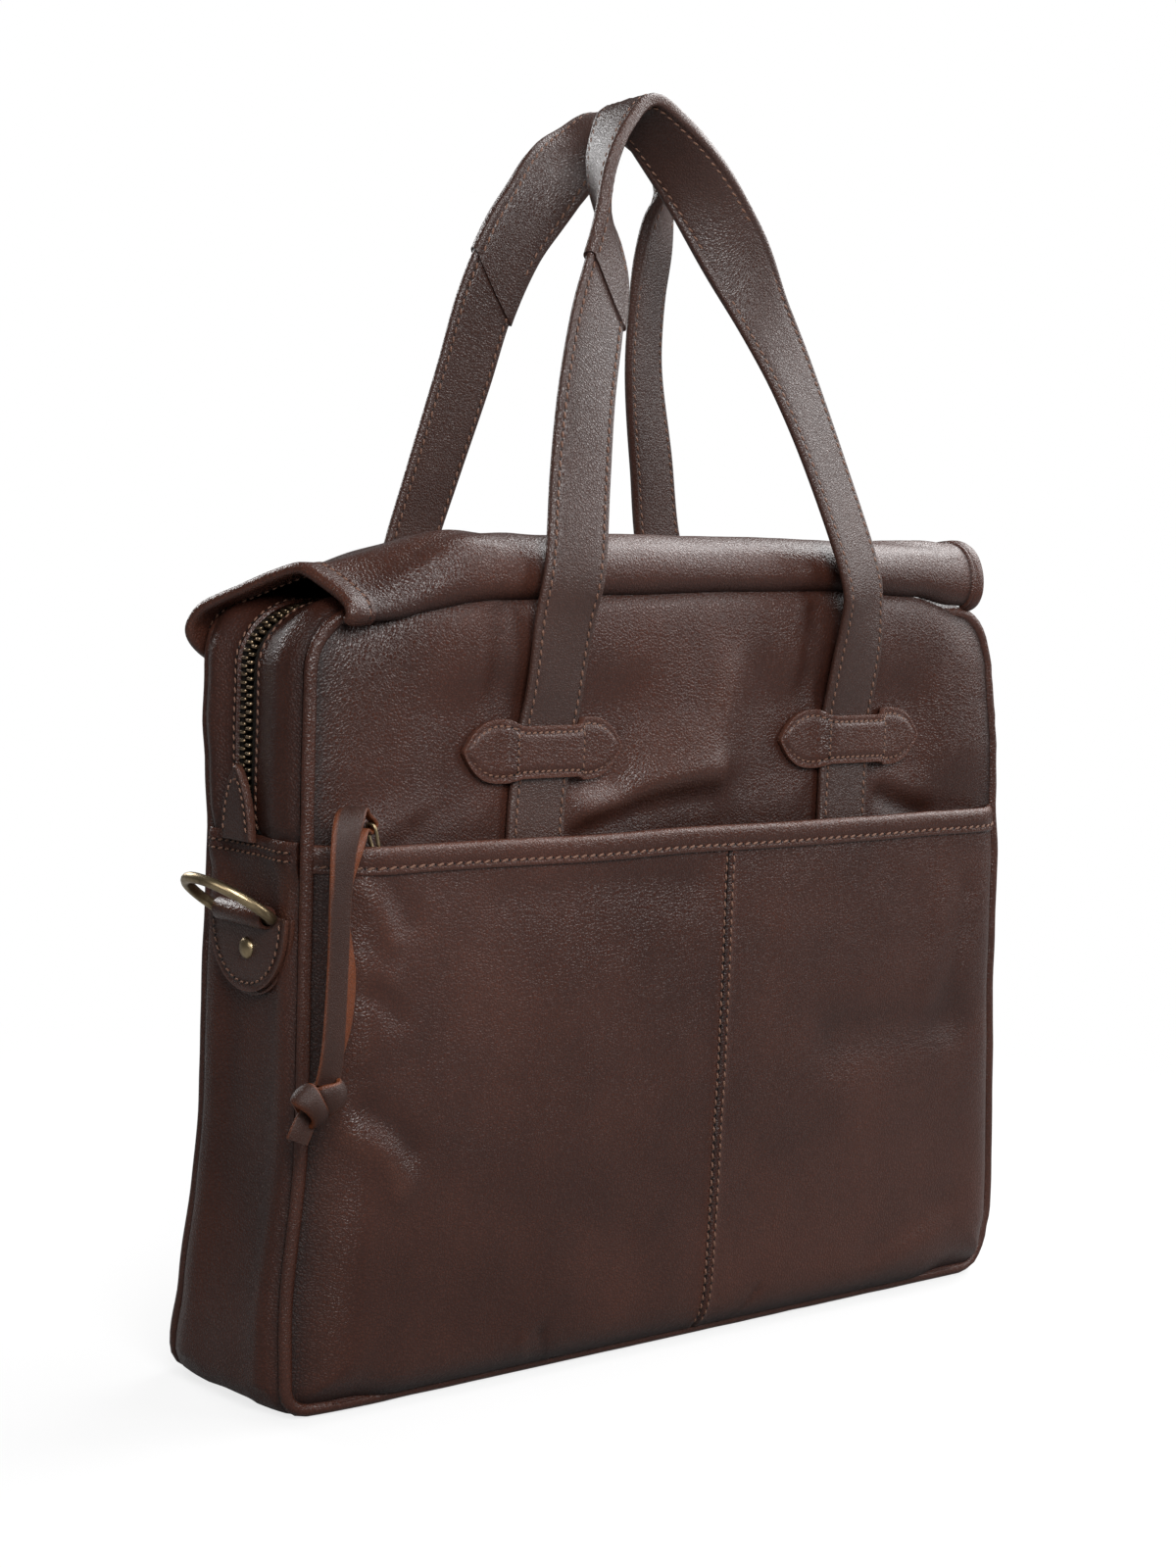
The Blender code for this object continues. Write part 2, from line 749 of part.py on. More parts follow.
def knot(end, along):
    """The thong's knot and the two ends that stick out of it, as one tapering lump."""
    across = Vector((1, 0, 0))
    normal = along.cross(across).normalized()
    start = end + along * GAP
    stations = [(KNOT_LENGTH * share, wide, thick) for share, wide, thick in KNOT_STATIONS]
    stations.append((KNOT_LENGTH + KNOT_TAIL, *KNOT_TAIL_STATION))
    sections = []
    for run, wide, thick in stations:
        frame = (start + along * run, across, normal)
        sections.append(strap_section(frame, KNOT_HALF_WIDTH * wide, KNOT_HALF_THICK * thick))
    return loft(sections)


def lean_out(z):
    """How far out of the bag's middle a handle stands at a height above its shoulder."""
    share = (z - SHOULDER_Z) / (APEX_Z - SHOULDER_Z)
    return SHOULDER_OUT + (APEX_OUT - SHOULDER_OUT) * share


def handle_twist(share):
    """A strap faces outwards at its ends and lies level across the grip."""
    turn = smoothstep(share, *TWIST_RISE) - smoothstep(share, *TWIST_FALL)
    return math.radians(90) * turn


def make_handle(name, side, shape, leather):
    """The swinging part of a handle: the strap from hinge to hinge and the grip layer round its top."""
    pivot = add_pivot(f"{name}_handle_pivot", (0, side * HINGE_OUT, HINGE_Z))
    start_z = HINGE_Z + HINGE_CLEAR_ABOVE
    rise_z = start_z + HANDLE_RISE
    rise_out = (HINGE_OUT + SHOULDER_OUT) / 2
    left_end = [(-HANDLE_X, side * HINGE_OUT, start_z), (-HANDLE_X, side * rise_out, rise_z)]
    right_end = [(HANDLE_X, side * rise_out, rise_z), (HANDLE_X, side * HINGE_OUT, start_z)]
    route = [(x, side * lean_out(z), z) for x, z in shape]
    line = smooth_line(left_end + route + right_end, STRAP_STEPS)
    frames = strap_frames(line, lambda share: -side * handle_twist(share))
    strap = strap_solid(frames, STRAP_HALF_WIDTH, STRAP / 2)
    add_solid(f"{name}_handle_strap", strap, leather, pivot)
    inside = [GRIP_SPAN[0] <= share <= GRIP_SPAN[1] for share in distances(line)]
    grip_frames = [frame for frame, keep in zip(frames, inside) if keep]
    grip = sleeve_solid(grip_frames, STRAP_HALF_WIDTH, STRAP / 2, GRIP)
    add_solid(f"{name}_handle_grip", grip, leather, pivot)
    for end, sign in (("left", -1), ("right", 1)):
        add_solid(f"{name}_strap_end_{end}", strap_end(side, sign * HANDLE_X), leather)
        add_solid(f"{name}_handle_tab_{end}", keeper_tab(side, sign * HANDLE_X), leather)


def strap_end(side, x):
    """The sewn-down end of a strap, from behind the pocket rim up under the tab to the hinge."""
    middle = STRAP_BACK + STRAP / 2
    tab_top = TAB_Z + TAB_HALF_HEIGHT
    route = [
        (x, side * middle, STRAP_FOOT_Z),
        (x, side * middle, TAB_Z),
        (x, side * middle, tab_top),
        (x, side * HINGE_OUT, HINGE_Z - HINGE_CLEAR_BELOW),
    ]
    return strap_solid(strap_frames([Vector(point) for point in route]), STRAP_HALF_WIDTH, STRAP / 2)


def keeper_tab(side, x):
    """A dog-bone strip sewn across a strap: it rises over the strap and comes to a blunt point each end."""
    sections = []
    for i in range(TAB_STATIONS + 1):
        along = TAB_HALF_LENGTH * (2 * i / TAB_STATIONS - 1)
        reach = abs(along)
        into_end = max(0.0, reach - (TAB_HALF_LENGTH - TAB_END_LENGTH)) / TAB_END_LENGTH
        waist = TAB_WAIST * (1 - smoothstep(reach, TAB_LIFT_FLAT, TAB_LIFT_END))
        half = (TAB_HALF_HEIGHT - waist) * (1 - TAB_POINT * into_end**2)
        lift = STRAP + GAP
        back = STRAP_BACK + lift * (1 - smoothstep(reach, TAB_LIFT_FLAT, TAB_LIFT_END))
        ys = (back, back + TAB)
        corners = ((ys[0], -half), (ys[1], -half), (ys[1], half), (ys[0], half))
        sections.append([(x + along, side * y, TAB_Z + rise) for y, rise in corners])
    return loft(sections)


def flap_half(y):
    """Half the flap's length at a depth: its free rear edge is longer than its sewn front."""
    front = FLAP_SEAM_ROUTE[0][0]
    rear = FLAP_COVER_ROUTE[-1][0]
    share = (y - front) / (rear - front)
    return FLAP_FRONT_HALF + (FLAP_REAR_HALF - FLAP_FRONT_HALF) * share


def flap_strip(route, thick, left_end, right_end):
    """A strip of the flap between two end lines, each a function of y."""
    line = smooth_line([(0, y, z) for y, z in route], FLAP_STEPS)
    sections = []
    for point, along in zip(line, directions(line)):
        normal = along.cross(Vector((1, 0, 0))) * thick / 2
        low = left_end(point.y)
        high = right_end(point.y)
        corners = ((low, -1), (high, -1), (high, 1), (low, 1))
        sections.append([Vector((x, point.y, point.z)) + normal * sign for x, sign in corners])
    return loft(sections)


def make_flap(leather):
    """The roll sewn into the front seam, the cover that lifts off the zip, and its two bound ends."""
    add_solid(
        "flap_front_roll",
        flap_strip(FLAP_SEAM_ROUTE, FLAP, lambda y: -flap_half(y), flap_half),
        leather,
    )
    pivot = add_pivot("flap_pivot", (0, *FLAP_HINGE))
    seam = FLAP_BINDING_WIDTH + GAP
    add_solid(
        "flap_cover",
        flap_strip(
            FLAP_COVER_ROUTE, FLAP, lambda y: -flap_half(y) + seam, lambda y: flap_half(y) - seam
        ),
        leather,
        pivot,
    )
    add_solid(
        "flap_left_binding",
        flap_strip(
            FLAP_COVER_ROUTE,
            FLAP_BINDING,
            lambda y: -flap_half(y),
            lambda y: -flap_half(y) + FLAP_BINDING_WIDTH,
        ),
        leather,
        pivot,
    )
    add_solid(
        "flap_right_binding",
        flap_strip(
            FLAP_COVER_ROUTE,
            FLAP_BINDING,
            lambda y: flap_half(y) - FLAP_BINDING_WIDTH,
            flap_half,
        ),
        leather,
        pivot,
    )


def make_ring_point(name, side, leather, brass):
    """A chape sewn and riveted to the side gusset, with the D-ring that turns in its loop."""
    back_x = HALF_WIDTH + GAP
    loop_x = back_x + CHAPE_LOOP
    chape = add_solid(f"{name}_ring_chape", chape_plate(side * back_x, side * (back_x + CHAPE)), leather)
    centre = (side * loop_x, 0, RING_Z)
    combine(chape, round_bar(CHAPE_LOOP, centre, 2 * CHAPE_LOOP_HALF, "Y"), "UNION")
    combine(chape, round_bar(CHAPE_BORE, centre, 2 * CHAPE_HALF_WIDTH + LEATHER, "Y"), "DIFFERENCE")
    through = 2 * (CHAPE + CHAPE_LOOP)
    hole = round_bar(RIVET_SHANK + GAP, (side * back_x, 0, RIVET_Z), through, "X")
    combine(chape, hole, "DIFFERENCE")
    face_x = back_x + CHAPE + GAP
    rivet = add_solid(
        f"{name}_chape_rivet",
        round_bar(RIVET_RADIUS, (side * (face_x + RIVET_CAP / 2), 0, RIVET_Z), RIVET_CAP, "X"),
        brass,
    )
    shank = round_bar(RIVET_SHANK, (side * (face_x - CHAPE / 2 + RIVET_CAP / 2), 0, RIVET_Z), CHAPE, "X")
    combine(rivet, shank, "UNION")
    pivot = add_pivot(f"{name}_ring_pivot", centre)
    add_tube(f"{name}_d_ring", ring_route(side, loop_x), RING_WIRE, brass, pivot)


def chape_plate(x_from, x_to):
    """The sewn part of a chape: straight across the top, rounded like a U below."""
    outline = []
    for i in range(CHAPE_STEPS + 1):
        angle = math.pi * i / CHAPE_STEPS
        drop = CHAPE_HEIGHT * math.sin(angle) ** CHAPE_ROUND
        outline.append((CHAPE_HALF_WIDTH * math.cos(angle), RING_Z - drop))
    return bar_along_x(outline, x_from, x_to)


def ring_route(side, loop_x):
    """A D: a straight bar in the chape's loop and a round bow that leans up and out from the bag."""
    dip = math.degrees(math.asin(RING_CENTRE / RING_RADIUS))
    bow = arc((0, RING_CENTRE), RING_RADIUS, -dip, 180 + dip, RING_STEPS)
    out = side * math.sin(RING_LEAN)
    up = math.cos(RING_LEAN)
    return [(side * loop_x + reach * out, y, RING_Z + reach * up) for y, reach in bow]


def main():
    clear_scene()
    leather = finish("brown_leather", (0.035, 0.020, 0.016), 0.45)
    strap_leather = finish("strap_leather", (0.042, 0.024, 0.019), 0.50)
    thong_leather = finish("thong_leather", (0.060, 0.026, 0.018), 0.55)
    brass = finish("antique_brass", (0.180, 0.120, 0.055), 0.38, 1.0)
    tape = finish("zip_tape", (0.012, 0.010, 0.009), 0.85)
    lining = finish("lining_cloth", (0.030, 0.026, 0.024), 0.90)
    board = finish("base_fibre_board", (0.120, 0.090, 0.065), 0.80)
    make_body(leather, lining, board)
    make_main_zip(tape, brass, leather)
    make_main_sliders(brass)
    make_pockets(leather)
    make_pocket_zip(tape, brass)
    make_pocket_pull(brass, thong_leather)
    make_handle("front", -1, FRONT_HANDLE_SHAPE, strap_leather)
    make_handle("rear", 1, REAR_HANDLE_SHAPE, strap_leather)
    make_flap(leather)
    make_ring_point("left", -1, leather, brass)
    make_ring_point("right", 1, leather, brass)


main()
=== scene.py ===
# %% [markdown]
# # A leather briefcase
# The bag is soft, so almost every visible piece is rebuilt here as leather that bends, over a stiff CAD
# frame. The frame comes first: it gives each piece its place, and the bodies that move.

# %% Frame
import math

import bmesh
import bpy
from mathutils import Matrix, Vector, noise


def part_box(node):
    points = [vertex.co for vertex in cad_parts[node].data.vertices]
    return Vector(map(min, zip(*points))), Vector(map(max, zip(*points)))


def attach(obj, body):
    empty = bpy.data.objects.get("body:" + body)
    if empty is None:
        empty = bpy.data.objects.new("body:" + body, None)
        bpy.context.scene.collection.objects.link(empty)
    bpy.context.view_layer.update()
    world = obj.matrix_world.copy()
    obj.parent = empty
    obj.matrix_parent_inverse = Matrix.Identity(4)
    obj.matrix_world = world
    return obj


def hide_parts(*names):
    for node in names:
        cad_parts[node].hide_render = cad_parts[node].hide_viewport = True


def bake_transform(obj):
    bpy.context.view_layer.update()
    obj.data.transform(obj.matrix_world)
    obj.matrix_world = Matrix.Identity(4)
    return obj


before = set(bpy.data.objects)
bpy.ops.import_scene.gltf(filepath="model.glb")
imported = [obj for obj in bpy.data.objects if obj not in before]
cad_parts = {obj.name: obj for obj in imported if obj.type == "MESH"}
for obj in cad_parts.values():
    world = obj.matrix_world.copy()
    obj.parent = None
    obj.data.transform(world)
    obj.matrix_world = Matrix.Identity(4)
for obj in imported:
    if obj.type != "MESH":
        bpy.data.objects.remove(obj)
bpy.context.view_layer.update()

# %% [markdown]
# ## Camera
# The camera stands where the photographer stood: to the front left of the bag and a little above its
# middle. Its place, turn and focal length were solved from eight corners of the body, so a size read off
# the picture can be used in metres.

# %% Camera
CAMERA_PLACE = Vector((-0.8547, -0.9471, 0.3705))
CAMERA_YAW = math.radians(41.254)
CAMERA_PITCH = math.radians(-5.825)
CAMERA_ROLL = math.radians(2.118)
FOCAL_PIXELS = 2964.3
PICTURE_HEIGHT = 1600
SENSOR = 36.0

ahead = Vector(
    (
        math.sin(CAMERA_YAW) * math.cos(CAMERA_PITCH),
        math.cos(CAMERA_YAW) * math.cos(CAMERA_PITCH),
        math.sin(CAMERA_PITCH),
    )
)
level = Vector((math.cos(CAMERA_YAW), -math.sin(CAMERA_YAW), 0))
upright = level.cross(ahead)
camera_right = math.cos(CAMERA_ROLL) * level + math.sin(CAMERA_ROLL) * upright
camera_up = math.cos(CAMERA_ROLL) * upright - math.sin(CAMERA_ROLL) * level
camera_data = bpy.data.cameras.new("camera")
camera_data.sensor_width = SENSOR
camera_data.lens = SENSOR * FOCAL_PIXELS / PICTURE_HEIGHT
camera = bpy.data.objects.new("camera", camera_data)
camera_turn = Matrix((camera_right, camera_up, -ahead)).transposed().to_4x4()
camera.matrix_world = Matrix.Translation(CAMERA_PLACE) @ camera_turn
bpy.context.scene.collection.objects.link(camera)
bpy.context.scene.camera = camera
print("lens", round(camera_data.lens, 2), "mm")

# %% [markdown]
# ## Shader sums
# A finish is a small network of nodes. Writing it as Python sums keeps it readable, so one class wraps a
# socket and lets it be added, multiplied and so on, and one method makes every other node.


# %% Shader sums
class Value:
    """A shader socket that takes part in sums."""

    def __init__(self, finish, socket):
        self.finish = finish
        self.socket = socket

    def sum(self, operation, left, right):
        return self.finish.node("ShaderNodeMath", {"operation": operation}, {0: left, 1: right})

    def __add__(self, other):
        return self.sum("ADD", self, other)

    __radd__ = __add__

    def __sub__(self, other):
        return self.sum("SUBTRACT", self, other)

    def __rsub__(self, other):
        return self.sum("SUBTRACT", other, self)

    def __mul__(self, other):
        return self.sum("MULTIPLY", self, other)

    __rmul__ = __mul__

    def least(self, other):
        return self.sum("MINIMUM", self, other)

    def most(self, other):
        return self.sum("MAXIMUM", self, other)


class Finish:
    """The nodes of a material, or of the world, round the shader that it starts with."""

    def __init__(self, owner, shader="Principled BSDF"):
        owner.use_nodes = True
        self.owner = owner
        self.tree = owner.node_tree
        self.shader = self.tree.nodes[shader]

    def fill(self, node, inputs):
        for key, value in inputs.items():
            socket = node.inputs[key]
            if isinstance(value, Value):
                self.tree.links.new(value.socket, socket)
            elif isinstance(value, tuple) and socket.type == "RGBA":
                socket.default_value = (*value, 1.0)
            else:
                socket.default_value = value

    def node(self, kind, settings, inputs, output=0):
        made = self.tree.nodes.new(kind)
        for key, value in settings.items():
            setattr(made, key, value)
        self.fill(made, inputs)
        return Value(self, made.outputs[output])

    def coat(self, **inputs):
        self.fill(self.shader, {key.replace("_", " "): value for key, value in inputs.items()})

    def mix(self, share, first, second):
        return self.node("ShaderNodeMix", {"data_type": "RGBA"}, {0: share, 6: first, 7: second}, 2)

    def place(self):
        return self.node("ShaderNodeTexCoord", {}, {}, "Object")

    def painted(self, name):
        """A value that the mesh carries at its vertices."""
        return self.node("ShaderNodeAttribute", {"attribute_name": name}, {}, "Fac")

    def noise(self, place, scale, detail=3.0, roughness=0.55):
        inputs = {"Vector": place, "Scale": scale, "Detail": detail, "Roughness": roughness}
        return self.node("ShaderNodeTexNoise", {}, inputs, 0)

    def between(self, value, low, high):
        inputs = {"Value": value, "From Min": low, "From Max": high}
        return self.node("ShaderNodeMapRange", {"clamp": True}, inputs)

    def bump(self, height, strength, distance):
        inputs = {"Height": height, "Strength": strength, "Distance": distance}
        return self.node("ShaderNodeBump", {}, inputs)

    def wave(self, place, scale, direction="DIAGONAL"):
        inputs = {"Vector": place, "Scale": scale}
        return self.node("ShaderNodeTexWave", {"bands_direction": direction}, inputs, 1)

    def bare(self):
        """What the first shader gives."""
        return Value(self, self.shader.outputs[0])

    def show(self, output, look):
        """Send a look to the last node, whose name is given."""
        self.fill(self.tree.nodes[output], {"Surface": look})


print("shader sums ready")

# %% [markdown]
# ## Leather
# Real grain leather is covered in small pebbles with fine valleys between them, a millimetre or so across,
# and its dye is never even. Pebbles come from Voronoi cells pushed about by a noise, so they are not all
# one shape; two slow noises vary the dye and the gloss. The valleys between the pebbles get painted shade.
# Two values painted on the mesh steer the rest: wear rubs edges redder and smoother, and shade is painted
# shade that darkens the colour in seams, creases and recesses.


# %% Leather
# How far the pebbles are pushed about, and how deep they are.
DRIFT = 0.0016
GRAIN_DEPTH = 0.0011


def leather(name, deep, warm, rubbed, gloss=0.26, pebble=680.0, relief=0.27, shine=0.33):
    finish = Finish(bpy.data.materials.new(name))
    place = finish.place()
    drift = finish.node("ShaderNodeTexNoise", {}, {"Vector": place, "Scale": 420.0, "Detail": 2.0}, 1)
    push = {0: drift, 1: (DRIFT, DRIFT, DRIFT), 2: place}
    pushed = finish.node("ShaderNodeVectorMath", {"operation": "MULTIPLY_ADD"}, push)
    cells = {"Vector": pushed, "Scale": pebble}
    valleys = finish.node("ShaderNodeTexVoronoi", {"feature": "DISTANCE_TO_EDGE"}, cells, "Distance")
    pebbles = finish.between(valleys, 0.0, 0.30)
    fine = finish.noise(place, 2600.0, 2.0)
    creases = finish.noise(place, 300.0, 4.0, 0.62)
    height = pebbles * 0.70 + fine * 0.20 + creases * 0.55
    dye = finish.between(finish.noise(place, 17.0, 4.0, 0.6), 0.30, 0.74)
    cloud = finish.between(finish.noise(place, 6.5, 2.0), 0.35, 0.68)
    wear = finish.painted("wear")
    shade = finish.painted("shade")
    colour = finish.mix(dye * 0.55 + cloud * 0.35, deep, warm)
    rub = (wear * (0.55 + 0.6 * finish.noise(place, 75.0, 3.0))).least(1.0)
    colour = finish.mix(rub, colour, rubbed)
    # Painted shade: the colour is darkened in the valleys between the pebbles and wherever the mesh carries
    # shade.
    dark = (0.42 * (1 - pebbles) + 0.62 * shade).least(0.88)
    colour = finish.mix(dark, colour, (deep[0] * 0.25, deep[1] * 0.22, deep[2] * 0.20))
    rough = gloss + 0.13 * (1 - pebbles) + 0.10 * (cloud - 0.5) - 0.05 * rub + 0.20 * shade
    finish.coat(Base_Color=colour, Roughness=rough, Normal=finish.bump(height, relief, GRAIN_DEPTH))
    finish.coat(Specular_IOR_Level=shine)
    return finish.owner


DEEP_BROWN = (0.0270, 0.0086, 0.0056)
WARM_BROWN = (0.0680, 0.0225, 0.0140)
RUBBED_BROWN = (0.1000, 0.0370, 0.0230)
body_leather = leather("body_leather", DEEP_BROWN, WARM_BROWN, RUBBED_BROWN)
STRAP_DEEP = (0.0270, 0.0105, 0.0074)
STRAP_WARM = (0.0560, 0.0235, 0.0165)
strap_leather = leather("strap_leather", STRAP_DEEP, STRAP_WARM, RUBBED_BROWN, 0.29, 800.0, 0.27, 0.46)
THONG_DEEP = (0.0240, 0.0092, 0.0062)
THONG_WARM = (0.0440, 0.0170, 0.0110)
THONG_FLESH = (0.1300, 0.0320, 0.0085)
thong_leather = leather("thong_leather", THONG_DEEP, THONG_WARM, THONG_FLESH, 0.42, 1150.0, 0.24, 0.26)
print("leather: body, strap and thong")

# %% [markdown]
# ## Suede, cloth, thread and brass
# The flap is backed with dark suede. The tapes are woven, so they get a fine twill. Thread is a twisted
# cord. The metal is brass that has been darkened and then rubbed, so the brown stays in the hollows and the
# yellow shows on what stands proud.


# %% Suede, cloth, thread and brass
def suede(name, deep, pale):
    finish = Finish(bpy.data.materials.new(name))
    place = finish.place()
    nap = finish.noise(place, 950.0, 5.0, 0.7)
    patch = finish.noise(place, 60.0, 3.0)
    colour = finish.mix(finish.between(nap * 0.6 + patch * 0.4, 0.3, 0.7), deep, pale)
    finish.coat(Base_Color=colour, Roughness=0.95, Normal=finish.bump(nap, 0.6, 0.0006))
    finish.coat(Sheen_Weight=0.03, Sheen_Roughness=0.5, Specular_IOR_Level=0.1)
    return finish.owner


def woven(name, deep, pale):
    finish = Finish(bpy.data.materials.new(name))
    place = finish.place()
    warp = finish.wave(place, 420.0)
    weft = finish.wave(place, 300.0, "Y")
    weave = warp * 0.6 + weft * 0.4
    colour = finish.mix(weave, deep, pale)
    finish.coat(Base_Color=colour, Roughness=0.9, Normal=finish.bump(weave, 0.5, 0.0004))
    finish.coat(Specular_IOR_Level=0.2)
    return finish.owner


def antique_brass(name, deep, bare):
    finish = Finish(bpy.data.materials.new(name))
    place = finish.place()
    patina = finish.between(finish.noise(place, 160.0, 5.0, 0.65), 0.36, 0.66)
    scratch = finish.noise(place, 900.0, 2.0)
    wear = finish.painted("wear")
    bright = (patina * 0.75 + wear * 0.6).least(1.0)
    colour = finish.mix(bright, deep, bare)
    finish.coat(Base_Color=colour, Metallic=1.0, Roughness=0.47 - 0.20 * bright + 0.08 * scratch)
    finish.coat(Normal=finish.bump(patina * 0.5 + scratch * 0.5, 0.12, 0.0004))
    return finish.owner


def thread(name, deep, pale):
    finish = Finish(bpy.data.materials.new(name))
    place = finish.place()
    twist = finish.wave(place, 900.0)
    colour = finish.mix(twist * 0.5 + finish.noise(place, 140.0) * 0.5, deep, pale)
    finish.coat(Base_Color=colour, Roughness=0.62, Normal=finish.bump(twist, 0.4, 0.0002))
    finish.coat(Specular_IOR_Level=0.35)
    return finish.owner


def board(name):
    finish = Finish(bpy.data.materials.new(name))
    place = finish.place()
    fibre = finish.noise(place, 400.0, 6.0, 0.7)
    finish.coat(Base_Color=finish.mix(fibre, (0.09, 0.065, 0.045), (0.16, 0.12, 0.085)), Roughness=0.85)
    finish.coat(Normal=finish.bump(fibre, 0.3, 0.0005))
    return finish.owner


flap_suede = suede("flap_suede", (0.011, 0.0085, 0.0075), (0.028, 0.022, 0.019))
zip_cloth = woven("zip_cloth", (0.0050, 0.0040, 0.0034), (0.0170, 0.0130, 0.0105))
lining_cloth = woven("lining_cloth", (0.018, 0.015, 0.013), (0.036, 0.030, 0.026))
brass = antique_brass("antique_brass", (0.070, 0.050, 0.029), (0.40, 0.31, 0.185))
zip_metal = antique_brass("zip_metal", (0.045, 0.031, 0.020), (0.30, 0.22, 0.14))
sewing_thread = thread("sewing_thread", (0.085, 0.040, 0.025), (0.180, 0.092, 0.060))
# Needle holes are dark dots laid on the leather: painted shade where the thread goes in.
HOLE_SHADE_DARK = (0.0022, 0.0012, 0.0010)
HOLE_SHADE_PALE = (0.0030, 0.0017, 0.0013)
needle_hole_shade = leather("needle_hole_shade", HOLE_SHADE_DARK, HOLE_SHADE_PALE, HOLE_SHADE_PALE, 0.8)
fibre_board = board("fibre_board")
print("suede, cloth, thread, brass and board")

# %% [markdown]
# ## Hands for soft work
# A soft piece is easiest to describe as a surface: a flat grid is made, and each of its points is then put
# where the leather goes. Long pieces such as straps and piping are a ring of a few points that is extruded
# along a line. These helpers do both, and finish a piece: thickness, rounded edges, smooth shading,
# material and body.


# %% Curves
def ease(value, low, high):
    share = min(max((value - low) / (high - low), 0.0), 1.0)
    return share * share * (3.0 - 2.0 * share)


def hump(value, width):
    return math.exp(-((value / width) ** 2))


CURVE_PARTS = 20


def on_curve(a, b, c, d, t):
    """A number on the smooth curve through four, a share t of the way from the second to the third."""
    return 0.5 * (2 * b + (c - a) * t + (2 * a - 5 * b + 4 * c - d) * t**2 + (3 * b - a - 3 * c + d) * t**3)


def smooth_line(points, step):
    """Points about a step apart on a smooth curve through the given ones, with any extra numbers."""
    held = [points[0], *points, points[-1]]
    fine = []
    for four in zip(held, held[1:], held[2:], held[3:]):
        for part in range(CURVE_PARTS):
            fine.append(tuple(on_curve(*numbers, part / CURVE_PARTS) for numbers in zip(*four)))
    fine.append(tuple(points[-1]))
    return evenly(fine, step)


def evenly(points, step):
    """The same line with its points about a step apart."""
    reach = [0.0]
    for before, after in zip(points, points[1:]):
        reach.append(reach[-1] + math.dist(before[:3], after[:3]))
    count = max(int(round(reach[-1] / step)), 1)
    line = []
    spot = 0
    for index in range(count + 1):
        goal = reach[-1] * index / count
        while spot < len(points) - 2 and reach[spot + 1] < goal:
            spot += 1
        span = max(reach[spot + 1] - reach[spot], 1e-9)
        share = min(max((goal - reach[spot]) / span, 0.0), 1.0)
        line.append(tuple(a + (b - a) * share for a, b in zip(points[spot], points[spot + 1])))
    return line


def line_length(points):
    return sum(math.dist(a[:3], b[:3]) for a, b in zip(points, points[1:]))


def heading(line, index):
    """The way that a line of points runs at one of them."""
    before = Vector(line[max(index - 1, 0)][:3])
    after = Vector(line[min(index + 1, len(line) - 1)][:3])
    return (after - before).normalized()


def spread(start, end, count):
    """Numbers at even distances from start to end."""
    return [start + (end - start) * index / (count - 1) for index in range(count)]


def from_table(table, value):
    """A value read off a table of pairs, eased from one row to the next."""
    if value <= table[0][0]:
        return table[0][1]
    for (low, first), (high, second) in zip(table, table[1:]):
        if value <= high:
            return first + (second - first) * ease(value, low, high)
    return table[-1][1]


print("curves ready")


# %% Sheets, sweeps and finished pieces
def painted_mesh():
    """An empty mesh whose vertices carry wear and shade."""
    bm = bmesh.new()
    return bm, bm.verts.layers.float.new("wear"), bm.verts.layers.float.new("shade")


def new_sheet(across, along, place):
    """A grid whose points are put by place(u, w), which also gives wear and shade."""
    bm, wear, shade = painted_mesh()
    bmesh.ops.create_grid(bm, x_segments=across, y_segments=along, size=0.5)
    for vert in bm.verts:
        spot, vert[wear], vert[shade] = place(vert.co.x + 0.5, vert.co.y + 0.5)
        vert.co = spot
    return bm


def face_towards(bm, direction):
    """Turn a sheet over if most of it looks the other way."""
    bm.normal_update()
    total = sum((face.normal * face.calc_area() for face in bm.faces), Vector())
    if total.dot(Vector(direction)) < 0:
        bmesh.ops.reverse_faces(bm, faces=bm.faces[:])
    return bm


def fill_ends(bm):
    bmesh.ops.holes_fill(bm, edges=[edge for edge in bm.edges if edge.is_boundary], sides=0)


def new_sweep(ring, frames, closed=False):
    """A ring of (across, out, wear) points extruded through a list of frames."""
    bm, wear, _ = painted_mesh()
    verts = []
    for across, out, worn in ring:
        vert = bm.verts.new(frames[0] @ Vector((across, out, 0.0)))
        vert[wear] = worn
        verts.append(vert)
    edges = [bm.edges.new((a, b)) for a, b in zip(verts, verts[1:] + verts[:1])]
    for before, after in zip(frames, frames[1:]):
        grown = bmesh.ops.extrude_edge_only(bm, edges=edges)["geom"]
        edges = [part for part in grown if isinstance(part, bmesh.types.BMEdge)]
        moved = [part for part in grown if isinstance(part, bmesh.types.BMVert)]
        bmesh.ops.transform(bm, matrix=after @ before.inverted(), verts=moved)
    if closed:
        bmesh.ops.remove_doubles(bm, verts=bm.verts[:], dist=1e-5)
    else:
        fill_ends(bm)
    bmesh.ops.recalc_face_normals(bm, faces=bm.faces[:])
    return bm


def axes_at(spot, first, second, third):
    """The matrix that takes the three axes to these vectors, at a spot."""
    matrix = Matrix((first, second, third)).transposed().to_4x4()
    matrix.translation = spot
    return matrix


def frame_at(spot, across, out, wide=1.0, thick=1.0):
    """A frame whose first axis runs across a strip and whose second points out of it."""
    return axes_at(spot, across * wide, out * thick, across.cross(out))


def round_ring(radius, count=10, worn=0.0):
    turns = [math.tau * index / count for index in range(count)]
    return [(radius * math.cos(turn), radius * math.sin(turn), worn) for turn in turns]


SOFT_EDGE_ANGLE = math.radians(50)
SHARP_ANGLE = math.radians(48)


